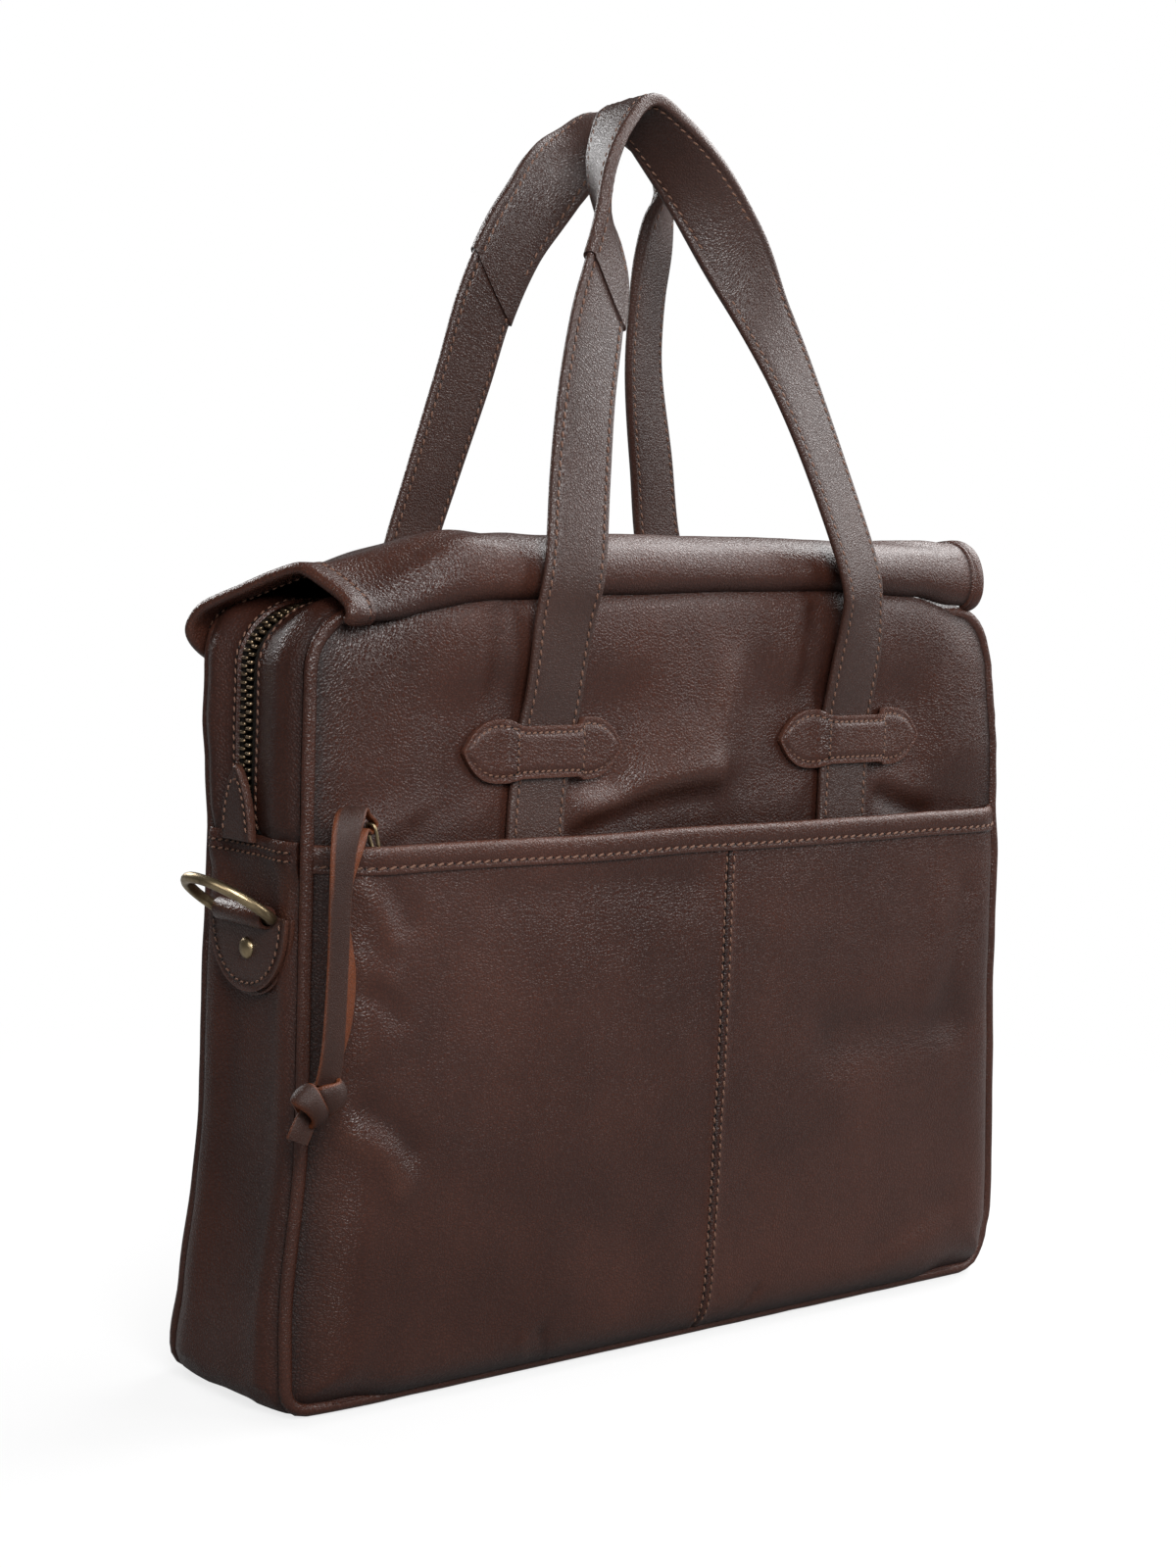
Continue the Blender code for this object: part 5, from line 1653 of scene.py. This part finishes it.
def handle_line(shape, side):
    lean = (LEAN_TOP - LEAN_LOW) / (HANDLE_TOP_Z - HANDLE_LOW_Z)
    loop = []
    for x, z, turn in shape:
        loop.append((x, side * (LEAN_LOW + lean * (z - HANDLE_LOW_Z)), z, math.radians(turn)))
    left_foot = FRONT_LEFT_FOOT if side < 0 else STRAP_FOOT
    left = [(-x, side * y, z, loop[0][3] * ease(z, TURN_LOW_Z, HANDLE_LOW_Z)) for x, y, z in left_foot]
    right = [(x, side * y, z, loop[-1][3] * ease(z, TURN_LOW_Z, HANDLE_LOW_Z)) for x, y, z in STRAP_FOOT]
    return smooth_line([*left, *loop, *right[::-1]], HANDLE_STEP)


def handle_frames(line):
    frames = []
    for index, point in enumerate(line):
        along = heading(line, index)
        flat = Vector((0.0, 1.0, 0.0)).cross(along).normalized()
        upright_side = along.cross(flat)
        across = math.cos(point[3]) * flat + math.sin(point[3]) * upright_side
        frames.append(frame_at(Vector(point[:3]), across, along.cross(across)))
    return frames


front_line = handle_line(FRONT_HANDLE, -1)
rear_line = handle_line(REAR_HANDLE, 1)
print("straps", round(line_length(front_line), 3), "and", round(line_length(rear_line), 3), "m")

# %% Straps, grips and their stitches
STRAP_SPOTS = [0.0150, 0.0148, 0.0142, 0.0133, 0.0125, 0.0118, 0.0111, 0.0098, 0.0060, 0.0]
STITCH_IN = 0.0118
STRAP_PITCH = 0.0041
GRIP_LAYER = 0.0009
GRIP_Z = 0.4400
GRIP_SLANT = 0.0240
GRIP_FADE = 10
# A distance from the middle of the bag.
BEND_Y = 0.053


def strap_half(across):
    past = max(abs(across) - 0.0126, 0.0) / 0.0024
    edge = math.sqrt(max(1.0 - past**2.2, 0.0))
    crown = 0.0003 * max(1.0 - (across / 0.0126) ** 2, 0.0)
    groove = 0.0004 * hump(abs(across) - STITCH_IN, 0.0008)
    return STRAP_HALF_THICK * edge + crown - groove


def strap_ring(extra=0.0):
    row = STRAP_SPOTS + [-across for across in STRAP_SPOTS[-2::-1]]
    grow = 1.0 + extra / STRAP_HALF_WIDTH
    ring = []
    for face, places in ((1, row), (-1, row[-2:0:-1])):
        for across in places:
            wear = 0.20 * ease(abs(across), 0.0128, 0.0148)
            ring.append((across * grow, face * (strap_half(across) + extra), wear))
    return ring


def strap_rows(into, frames, extra=0.0):
    for across in (-STITCH_IN, STITCH_IN):
        for face in (-1, 1):
            line = []
            for matrix in frames:
                spot = matrix @ Vector((across, face * (strap_half(across) + extra), 0.0))
                line.append((*spot, *(matrix.col[1].to_3d() * face)))
            sew(into, line, STRAP_PITCH)


def grip_start(across):
    """How far up the strap the layer starts: it is cut on a slant."""
    return GRIP_SLANT * (0.5 - 0.5 * across / STRAP_HALF_WIDTH)


def grip(line, frames):
    """A layer round the top of the strap: a sharp slanting edge at the left, faded out at the right."""
    high = [index for index, point in enumerate(line) if point[2] > GRIP_Z]
    first, last = high[0], high[-1]
    plain, thick = strap_ring(), strap_ring(GRIP_LAYER)
    count = len(plain)
    rows = 2 * (last - first)

    def place(u, w):
        index, row = round(u * count) % count, round(w * rows)
        start = first + grip_start(plain[index][0]) / HANDLE_STEP
        spot = start + (last - start) * max(row - 0.9, 0.0) / (rows - 0.9)
        layer = 0.0 if row == 0 else 1.0 - ease(spot, last - GRIP_FADE, last - 0.5)
        flat = Vector(plain[index]).lerp(Vector(thick[index]), layer)
        before, after = frames[int(spot)], frames[min(int(spot) + 1, last)]
        here = Vector((flat.x, flat.y, 0.0))
        # The first row, at the slanting cut edge, carries painted shade.
        return (before @ here).lerp(after @ here, spot - int(spot)), flat.z, 0.7 if row == 0 else 0.0

    bm = new_sheet(count, rows, place)
    bmesh.ops.remove_doubles(bm, verts=bm.verts[:], dist=1e-6)
    bmesh.ops.recalc_face_normals(bm, faces=bm.faces[:])
    return bm, first, last


for name, line, side in (("front", front_line, -1), ("rear", rear_line, 1)):
    frames = handle_frames(line)
    strap_mesh = new_sweep(strap_ring(), frames)
    strap = finish_piece(f"{name}_strap", strap_mesh, [strap_leather], None)
    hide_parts(f"{name}_handle_strap", f"{name}_strap_end_left", f"{name}_strap_end_right")
    rows = bmesh.new()
    strap_rows(rows, frames)
    threads = finish_stitches(f"{name}_strap_stitches", rows, None)
    bend = side * BEND_Y
    handle = f"{name}_handle"
    for piece in (strap, threads):
        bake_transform(piece)
    grip_mesh, first, last = grip(line, frames)
    finish_piece(f"{name}_grip", grip_mesh, [strap_leather], handle, [f"{handle}_grip"])
    grip_rows = bmesh.new()
    strap_rows(grip_rows, frames[first + 6 : last - GRIP_FADE], GRIP_LAYER)
    finish_stitches(f"{name}_grip_stitches", grip_rows, handle)

# %% [markdown]
# ## Handle tabs
# A tab shaped like a long double leaf is sewn across each strap end: over the strap it has a waist and is
# pushed out, and at both sides it lies on the panel. Its edge is stitched all round, and a row down each
# side of the strap holds it tight.

# %% Handle tabs
TAB_THICK = 0.0024
TAB_BACK = 0.0414
TAB_LIFT = 0.0046
TAB_STITCH_IN = 0.0028
# A row of stitches down each side of the strap, this far from its middle.
TAB_COLUMN = 0.0175
TAB_LOBE = 0.0131
TAB_LOBE_FROM = 0.50


def tab_half(share, top):
    """Half the tab's height at a share of its half length."""
    share = abs(share)
    if share > TAB_LOBE_FROM:
        end = (share - TAB_LOBE_FROM) / (1 - TAB_LOBE_FROM)
        return TAB_LOBE * max(1.0 - end**3.0, 0.0) ** 0.95
    waist = 0.0028 if top else 0.0020
    return TAB_LOBE - waist * (1 - ease(share, TAB_LOBE_FROM - 0.16, TAB_LOBE_FROM))


def tab_out(dx, edge):
    over = 1.0 - ease(abs(dx), 0.0158, 0.0225)
    puff = 0.0007 * ease(edge, 0.0, 0.006)
    groove = -0.0005 * hump(edge - TAB_STITCH_IN, 0.0009) - 0.0004 * hump(abs(dx) - TAB_COLUMN, 0.0008)
    return TAB_BACK + TAB_THICK + TAB_LIFT * over + puff + groove


def tab_edge(share, dz, length):
    half = tab_half(share, dz > 0)
    return min(half - abs(dz), length * (1 - abs(share)) * 1.2)


def tab(middle, length, side):
    def place(u, w):
        share = 0.995 * math.sin((u - 0.5) * math.pi)
        across = 2 * w - 1
        dz = tab_half(share, across > 0) * across
        dx = share * length
        edge = tab_edge(share, dz, length)
        wear = 0.6 * hump(edge, 0.0014) + 0.15
        # Painted shade in the groove of each stitch row beside the strap.
        shade = 0.5 * hump(abs(dx) - TAB_COLUMN, 0.0007)
        return Vector((middle + dx, side * tab_out(dx, edge), TAB_Z + dz)), wear, shade

    return face_towards(new_sheet(64, 26, place), (0, side, 0))


def tab_loop(middle, length, side):
    loop = []
    for top in (True, False):
        for share in spread(-0.905, 0.905, 90)[:: 1 if top else -1]:
            inset = TAB_STITCH_IN * (1 + 0.42 * ease(abs(share), 0.55, 0.90))
            dz = (tab_half(share, top) - inset) * (1 if top else -1)
            dx = share * length
            loop.append((middle + dx, side * tab_out(dx, TAB_STITCH_IN), TAB_Z + dz, 0.0, side, 0.0))
    return loop + loop[:1]


def tab_column(middle, length, dx, side):
    column = []
    for share in spread(-1.0, 1.0, 20):
        dz = share * (tab_half(dx / length, share > 0) - 0.0035)
        column.append((middle + dx, side * tab_out(dx, 0.006), TAB_Z + dz, 0.0, side, 0.0))
    return column


# The middle of each tab and half its length.
TAB_PLACES = {"front": ((-0.0865, 0.0425), (0.0940, 0.0445)), "rear": ((-0.0900, 0.0425), (0.0900, 0.0425))}
for name, side in (("front", -1), ("rear", 1)):
    for (middle, length), hand in zip(TAB_PLACES[name], ("left", "right")):
        tab_name = f"{name}_tab_{hand}"
        node = f"{name}_handle_tab_{hand}"
        tab_mesh = tab(middle, length, side)
        finish_piece(tab_name, tab_mesh, [body_leather], "bag", [node], thick=TAB_THICK, edge=0.0005)
        sew(bag_stitches, tab_loop(middle, length, side), FINE_PITCH)
        for dx in (-TAB_COLUMN, TAB_COLUMN):
            sew(bag_stitches, tab_column(middle, length, dx, side), FINE_PITCH)
finish_stitches("bag_stitches", bag_stitches, "bag")

# %% [markdown]
# ## Flap
# A soft flap covers the zip. It is sewn along the front, rolls up over the edge, falls back over the top
# and hangs a little way down behind. It is one long sheet: a curve across the bag, moved along it, with the
# heights that the photograph shows along its ridge and its front edge. At the left end the roll is
# flattened and its crest lies further back, so the curve changes into a second one there. Both ends are
# bound with a folded strip.

# %% Flap
# Distance from the middle of the bag and height, from the front seam to the rear edge.
FLAP_CURVE = [
    (-0.0408, 0.3258), (-0.0440, 0.3272), (-0.0468, 0.3302), (-0.0478, 0.3345), (-0.0468, 0.3400),
    (-0.0430, 0.3455), (-0.0362, 0.3492), (-0.0270, 0.3500), (-0.0100, 0.3466), (0.0130, 0.3410),
    (0.0310, 0.3340), (0.0415, 0.3255), (0.0455, 0.3160), (0.0458, 0.3040),
]
FLAP_END_CURVE = [
    (-0.0412, 0.3150), (-0.0434, 0.3168), (-0.0436, 0.3196), (-0.0412, 0.3234), (-0.0352, 0.3270),
    (-0.0258, 0.3312), (-0.0184, 0.3346), (-0.0111, 0.3361), (0.0003, 0.3330), (0.0170, 0.3266),
    (0.0288, 0.3219), (0.0396, 0.3166), (0.0448, 0.3112), (0.0464, 0.3060), (0.0468, 0.2990),
    (0.0468, 0.2920),
]
FLAP_THICK = 0.0024
FLAP_ROWS = 64
# x and how much higher or lower the ridge is there.
FLAP_RIDGE = [
    (-0.160, 0.0004), (-0.128, 0.0012), (-0.082, 0.0004), (-0.016, 0.0012), (0.042, 0.0013),
    (0.091, 0.0004), (0.143, 0.0010), (0.185, 0.0006),
]
FLAP_LEFT = (-0.1872, -0.2034)
FLAP_RIGHT = (0.1735, 0.1860)
FLAP_CORNER = 0.0170
FLAP_FLATTENED = 0.062
# x and the distance up from the seam, along the flap.
FLAP_FOLDS = [
    ([(0.090, 0.0450), (0.120, 0.0380), (0.150, 0.0300)], 0.0045, -0.0011),
    ([(0.086, 0.0510), (0.118, 0.0440), (0.150, 0.0360)], 0.0060, 0.0007),
    ([(-0.150, 0.0300), (-0.120, 0.0360), (-0.095, 0.0470)], 0.0040, -0.0009),
    ([(-0.165, 0.0200), (-0.140, 0.0240), (-0.118, 0.0250)], 0.0045, 0.0008),
]


def curve_rows(curve):
    fine = smooth_line([(0.0, y, z) for y, z in curve], 0.0005)
    return [(y, z) for _, y, z in evenly(fine, line_length(fine) / FLAP_ROWS)]


flap_line, flap_end_line = curve_rows(FLAP_CURVE), curve_rows(FLAP_END_CURVE)
FLAP_ARC = line_length([(0.0, y, z) for y, z in flap_line])


def between_rows(rows, w):
    """Place and slope on a curve at a share of its length."""
    step = w * FLAP_ROWS
    index = min(int(step), FLAP_ROWS - 1)
    first, second = Vector((0.0, *rows[index])), Vector((0.0, *rows[index + 1]))
    return first.lerp(second, step - index), (second - first).normalized()


def flap_ends(w):
    back = ease(w, 0.12, 0.90)
    rounded = FLAP_CORNER * max((w - 0.86) / 0.14, 0.0) ** 2.2
    left = FLAP_LEFT[0] + (FLAP_LEFT[1] - FLAP_LEFT[0]) * back + rounded
    return left, FLAP_RIGHT[0] + (FLAP_RIGHT[1] - FLAP_RIGHT[0]) * back - rounded


def flap_spot(x, w, out=0.0):
    """A place on the flap at x and a share w of the way from its seam to its rear edge, and the way out."""
    middle, slope = between_rows(flap_line, w)
    rise = ease(w, 0.0, 0.22)
    middle.z += from_table(FLAP_LOW_EDGE, x) * (1 - rise) + from_table(FLAP_RIDGE, x) * rise
    end, end_slope = between_rows(flap_end_line, w)
    flattened = 1.0 - ease(x - flap_ends(w)[0], 0.004, FLAP_FLATTENED)
    spot = middle.lerp(end, flattened)
    slope = slope.lerp(end_slope, flattened).normalized()
    facing = Vector((0.0, -slope.z, slope.y))
    soft = 0.0012 * unevenness(x * 1.2, w * 0.16, 41.0) + folds_at(x, w * FLAP_ARC, FLAP_FOLDS)
    soft *= ease(w, 0.03, 0.15)
    return Vector((x, spot.y, spot.z)) + facing * (soft + out), facing


def flap_sheet():
    def place(u, w):
        left, right = flap_ends(w)
        x = left + (right - left) * u
        fold = folds_at(x, w * FLAP_ARC, FLAP_FOLDS)
        wear = 0.45 * hump(1.0 - w, 0.012) + 0.16 * hump(w - 0.26, 0.10)
        # Painted shade along the front seam under the roll, in the valleys of folds, and along the step at
        # each bound end.
        shade = 0.70 * hump(w, 0.020) + 0.35 * hump(w, 0.055) + 0.35 * ease(-fold, 0.0004, 0.0014)
        shade += 0.4 * hump(x - left - BINDING_WIDTH, 0.0011)
        shade += 0.8 * hump(right - x - BINDING_WIDTH * RIGHT_BINDING, 0.0012)
        return flap_spot(x, w)[0], wear, shade

    return face_towards(new_sheet(220, FLAP_ROWS, place), (0, 0, 1))


# Distance in from the end of the flap, height over its face, and wear, from the top round the edge to the
# underside.
BINDING_WIDTH = 0.0122
BINDING = [
    (0.0126, -0.0002, 0.05), (0.0120, 0.0005, 0.15), (0.0112, 0.0010, 0.15), (0.0100, 0.0011, 0.10),
    (0.0092, 0.0007, 0.05), (0.0084, 0.0011, 0.10), (0.0050, 0.0014, 0.15), (0.0022, 0.0014, 0.25),
    (0.0007, 0.0010, 0.40), (-0.0003, 0.0000, 0.50), (-0.0007, -0.0012, 0.45), (-0.0004, -0.0025, 0.40),
    (0.0006, -0.0034, 0.25), (0.0026, -0.0037, 0.10), (0.0080, -0.0036, 0.05), (0.0120, -0.0034, 0.0),
    (0.0126, -0.0024, 0.0),
]
BINDING_STITCH = 0.0092
# The right end has a narrower binding, sewn along its middle.
RIGHT_BINDING = 0.62
RIGHT_STITCH = 0.0042
BINDING_PITCH = 0.0042


def flap_binding(at_left):
    def place(u, w):
        gap, out, wear = BINDING[round(w * (len(BINDING) - 1))]
        left, right = flap_ends(u)
        x = left + gap if at_left else right - gap * RIGHT_BINDING
        return flap_spot(x, u, out)[0], wear, 0.0

    return face_towards(new_sheet(90, len(BINDING) - 1, place), (0, -1, 1))


def flap_row(at_left, face):
    """Stitches through a bound end, on its top or, with a face of -1, on its underside."""
    line = []
    for w in spread(0.03, 0.97, 120):
        left, right = flap_ends(w)
        place = left + BINDING_STITCH if at_left else right - RIGHT_STITCH
        spot, facing = flap_spot(place, w, 0.0007 if face > 0 else -0.0036)
        line.append((*spot, *(facing * face)))
    return line


flap_sides = [body_leather, flap_suede]
flap = finish_piece("flap", flap_sheet(), flap_sides, None, thick=FLAP_THICK, edge=0.0008, lined=True)
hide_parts("flap_cover", "flap_front_roll")
flap_threads = bmesh.new()
moving = [flap]
for name, at_left in (("left", True), ("right", False)):
    bound = finish_piece(f"flap_{name}_bound_end", flap_binding(at_left), [body_leather], None, thick=0.0006)
    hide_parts(f"flap_{name}_binding")
    moving.append(bound)
    for face in (1, -1):
        sew(flap_threads, flap_row(at_left, face), BINDING_PITCH)
moving.append(finish_stitches("flap_stitches", flap_threads, None))
for piece in moving:
    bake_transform(piece)

# %% [markdown]
# ## Shoulder-strap rings
# A chape is a patch of doubled leather, round at the bottom, riveted and stitched to the side. Its top is
# folded into a loop for the straight bar of a D-ring. The two layers are separate sheets, so the line
# between them shows.

# %% Chapes
CHAPE_TOP = 0.1985
CHAPE_HALF = 0.0278
CHAPE_HEIGHT = 0.0335
CHAPE_SHIFT = -0.0025
CHAPE_THICK = 0.0018
RING_BAR = Vector((0.2049, 0.0, 0.1980))
RIVET = Vector((0.2038, -0.0005, 0.1840))
# Each layer's name and size, and how far its back is from the middle of the bag.
CHAPE_LAYERS = (("chape", 1.0, 0.1998), ("chape_top", 0.955, 0.2018))
# A row of stitches, this far in from the edge, and how far its leather is from the middle of the bag.
CHAPE_ROW = 0.0048
CHAPE_FACE = 0.2037
CHAPE_PITCH = 0.0036
# Distance along the axis, and radius, of the leather round the bar and of the rivet's head.
LOOP_SECTION = [
    (-0.0165, 0.0030), (-0.0165, 0.0042), (-0.0158, 0.0047), (0.0158, 0.0047), (0.0165, 0.0042),
    (0.0165, 0.0030),
]
RIVET_SECTION = [
    (0.0016, 0.0), (0.0015, 0.0017), (0.0011, 0.0031), (0.0005, 0.0040), (-0.0002, 0.0044),
    (-0.0008, 0.0044),
]


def chape_half(share):
    return math.sqrt(max(1.0 - share**2.4, 0.0))


def chape_layer(sign, scale, base, thick):
    def place(u, w):
        share = 0.997 * math.sin(w * math.pi / 2)
        half = CHAPE_HALF * scale * chape_half(share)
        y = half * math.sin((u - 0.5) * math.pi)
        z = CHAPE_TOP - CHAPE_HEIGHT * scale * share
        edge = min(half - abs(y), CHAPE_HEIGHT * scale * (1 - share))
        out = base + thick - 0.0004 * hump(edge - 0.0034, 0.0009) + 0.0003 * ease(edge, 0.004, 0.010)
        out -= 0.0008 * hump(math.hypot(y - RIVET.y, z - RIVET.z), 0.0060)
        return Vector((sign * out, y + CHAPE_SHIFT, z)), 0.6 * hump(edge, 0.0013) + 0.1, 0.0

    return face_towards(new_sheet(40, 30, place), (sign, 0, 0))


def chape_row(sign, gap, out):
    right = []
    for share in spread(0.06, 0.999, 50):
        half = chape_half(share)
        right.append(((CHAPE_HALF - gap) * half, CHAPE_TOP - (CHAPE_HEIGHT - gap) * share))
    loop = right + [(-y, z) for y, z in right[::-1]]
    return [(sign * out, y + CHAPE_SHIFT, z, sign, 0.0, 0.0) for y, z in loop]


def at_end(sign, spot):
    """A place on the chape of the left or right end."""
    return Vector((sign * spot.x, spot.y + CHAPE_SHIFT, spot.z))


def spun(centre, axis, section, worn, steps, closed):
    """A section of (along the axis, radius) points spun round an axis through a centre."""
    bm, wear, _ = painted_mesh()
    verts = []
    for along, radius in section:
        vert = bm.verts.new(centre + axis * along + Vector((0.0, 0.0, radius)))
        vert[wear] = worn
        verts.append(vert)
    following = verts[1:] + verts[:1] if closed else verts[1:]
    geom = verts + [bm.edges.new(pair) for pair in zip(verts, following)]
    bmesh.ops.spin(bm, geom=geom, cent=centre, axis=axis, angle=math.tau, steps=steps, use_merge=True)
    bmesh.ops.remove_doubles(bm, verts=bm.verts[:], dist=1e-6)
    if not closed:
        fill_ends(bm)
    bmesh.ops.recalc_face_normals(bm, faces=bm.faces[:])
    return bm


def chape_loop(sign):
    """The fold of leather round the bar: a tube with rounded ends."""
    return spun(at_end(sign, RING_BAR), Vector((0.0, 1.0, 0.0)), LOOP_SECTION, 0.45, 28, True)


def dome(sign):
    """A rivet head, which faces outwards."""
    section = [(sign * along, radius) for along, radius in RIVET_SECTION]
    return spun(at_end(sign, RIVET), Vector((1.0, 0.0, 0.0)), section, 0.55, 24, False)


chape_threads = bmesh.new()
for name, sign in (("left", -1), ("right", 1)):
    for layer, scale, base in CHAPE_LAYERS:
        piece_name = f"{name}_{layer}"
        nodes = [f"{name}_ring_chape"] if layer == "chape" else []
        layer_mesh = chape_layer(sign, scale, base, 0.0019)
        finish_piece(piece_name, layer_mesh, [strap_leather], "bag", nodes, thick=CHAPE_THICK, edge=0.0005)
    finish_piece(f"{name}_chape_loop", chape_loop(sign), [body_leather], "bag")
    finish_piece(f"{name}_rivet", dome(sign), [brass], "bag", [f"{name}_chape_rivet"])
    sew(chape_threads, chape_row(sign, CHAPE_ROW, CHAPE_FACE), CHAPE_PITCH)
finish_stitches("chape_stitches", chape_threads, "bag")

# %% [markdown]
# The ring is a bent rod. Its line is drawn flat, a straight bar and a round bow, its corners are cut twice
# so that they turn softly, and a small circle is swept along it.

# %% D-rings
ROD_RADIUS = 0.00225
BOW_RADIUS = 0.0208
BOW_CENTRE = 0.0065
RING_LEAN = math.radians(56)


def ring_line():
    dip = math.asin(BOW_CENTRE / BOW_RADIUS)
    turns = spread(-dip, math.pi + dip, 30)
    flat = [(BOW_RADIUS * math.cos(turn), BOW_CENTRE + BOW_RADIUS * math.sin(turn)) for turn in turns]
    flat += [(y, 0.0) for y in spread(flat[-1][0], flat[0][0], 16)[1:-1]]
    for _ in range(2):
        cut = []
        for (ay, ab), (by, bb) in zip(flat, flat[1:] + flat[:1]):
            for first, second in ((0.75, 0.25), (0.25, 0.75)):
                cut.append((first * ay + second * by, first * ab + second * bb))
        flat = cut
    return flat


def d_ring(sign):
    flat = ring_line()
    flat_normal = Vector((sign * math.cos(RING_LEAN), 0.0, -math.sin(RING_LEAN)))
    reach = Vector((sign * math.sin(RING_LEAN), 0.0, math.cos(RING_LEAN)))
    centre = at_end(sign, RING_BAR)
    spots = [centre + Vector((0.0, y, 0.0)) + reach * out for y, out in flat]
    frames = []
    for index in [*range(len(spots)), 0]:
        along = (spots[(index + 1) % len(spots)] - spots[index - 1]).normalized()
        across = (flat_normal - flat_normal.dot(along) * along).normalized()
        frames.append(frame_at(spots[index], across, along.cross(across)))
    return new_sweep(round_ring(ROD_RADIUS, 12, 0.6), frames, closed=True)


for name, sign in (("left", -1), ("right", 1)):
    body = f"{name}_ring"
    finish_piece(f"{body}_rod", d_ring(sign), [brass], body, [f"{name}_d_ring"])

# %% [markdown]
# ## Studio
# The bag stands on a plain white floor. A large soft lamp stands at the front left and a small one at the
# front right, one hangs above on the right, and weaker ones at both sides and behind keep the other sides
# from going black. The world looks white to the camera, and little of that white gets into the leather,
# which would lose its depth.

# %% Studio
bpy.context.scene.view_settings.view_transform = "Standard"
LAMPS = [
    # name, place, aim, size, watts
    ("key_lamp", (-0.65, -1.25, 1.10), (-0.10, 0.0, 0.22), 0.80, 31.0),
    ("strip_lamp", (0.82, -1.10, 0.76), (0.0, 0.0, 0.36), 0.48, 6.0),
    ("top_lamp", (0.90, 0.00, 1.36), (0.0, 0.0, 0.33), 1.20, 36.0),
    ("left_lamp", (-1.60, -0.50, 0.90), (0.0, 0.0, 0.20), 0.80, 5.0),
    ("right_lamp", (1.60, -0.40, 0.80), (0.0, 0.0, 0.20), 0.80, 7.0),
    ("back_lamp", (-0.20, 1.80, 1.10), (0.0, 0.0, 0.20), 0.80, 20.0),
]
for name, place, aim, size, watts in LAMPS:
    lamp_data = bpy.data.lights.new(name, "AREA")
    lamp_data.energy = watts
    lamp_data.shape = "RECTANGLE"
    lamp_data.size = size
    lamp_data.size_y = size
    lamp = bpy.data.objects.new(name, lamp_data)
    lamp.location = place
    lamp.rotation_euler = (Vector(aim) - Vector(place)).to_track_quat("-Z", "Y").to_euler()
    bpy.context.scene.collection.objects.link(lamp)

WHITE = (1.0, 1.0, 1.0)
AMBIENT = 0.05
MIRROR_SHARE = 0.06


def white_seen(finish, seen, unseen):
    """Mix two shaders: what the camera and, weakly, mirrors see, and what lights other things."""
    rays = finish.tree.nodes.new("ShaderNodeLightPath").outputs
    camera_ray = Value(finish, rays["Is Camera Ray"])
    mirror_ray = Value(finish, rays["Is Glossy Ray"])
    through_ray = Value(finish, rays["Is Transmission Ray"])
    share = camera_ray.most(mirror_ray * MIRROR_SHARE).most(through_ray)
    return finish.node("ShaderNodeMixShader", {}, {0: share, 1: unseen, 2: seen})


world = bpy.data.worlds.new("studio")
bpy.context.scene.world = world
sky = Finish(world, "Background")
sky.coat(Color=WHITE, Strength=AMBIENT)
white = sky.node("ShaderNodeBackground", {}, {"Color": WHITE, "Strength": 1.0})
sky.show("World Output", white_seen(sky, white, sky.bare()))
print("lamps", len(LAMPS))

# %% [markdown]
# The floor looks white as well. Close to the bag a part of it is lit like paper, so a soft shadow shows
# there.

# %% Floor
FLOOR_RADIUS = 6.0
FLOOR_DROP = 0.0004
PAPER = (0.70, 0.70, 0.70)
BOUNCE = (0.20, 0.20, 0.20)
# The floor is this share plain white under the bag, and all of it is further out than the second distance.
SHADOW_FROM, SHADOW_TO = 0.18, 0.75
WHITE_UNDER = 0.78

floor_mesh = bmesh.new()
bmesh.ops.create_circle(floor_mesh, cap_ends=True, segments=96, radius=FLOOR_RADIUS)
floor_data = bpy.data.meshes.new("floor")
floor_mesh.to_mesh(floor_data)
floor_mesh.free()
floor = bpy.data.objects.new("floor", floor_data)
floor.location.z = -FLOOR_DROP
bpy.context.scene.collection.objects.link(floor)
ground = Finish(bpy.data.materials.new("white_floor"))
ground.coat(Base_Color=PAPER, Roughness=0.9)
bounce = ground.node("ShaderNodeBsdfDiffuse", {}, {"Color": BOUNCE})
glow = ground.node("ShaderNodeEmission", {}, {"Strength": 1.0})
away = ground.node("ShaderNodeVectorMath", {"operation": "LENGTH"}, {0: ground.place()}, "Value")
fade = ground.node(
    "ShaderNodeMapRange",
    {"interpolation_type": "SMOOTHSTEP"},
    {"Value": away, "From Min": SHADOW_FROM, "From Max": SHADOW_TO, "To Min": WHITE_UNDER, "To Max": 1.0},
)
seen_floor = ground.node("ShaderNodeMixShader", {}, {0: fade, 1: ground.bare(), 2: glow})
ground.show("Material Output", white_seen(ground, seen_floor, bounce))
floor_data.materials.append(ground.owner)
print("floor", FLOOR_RADIUS, "m")
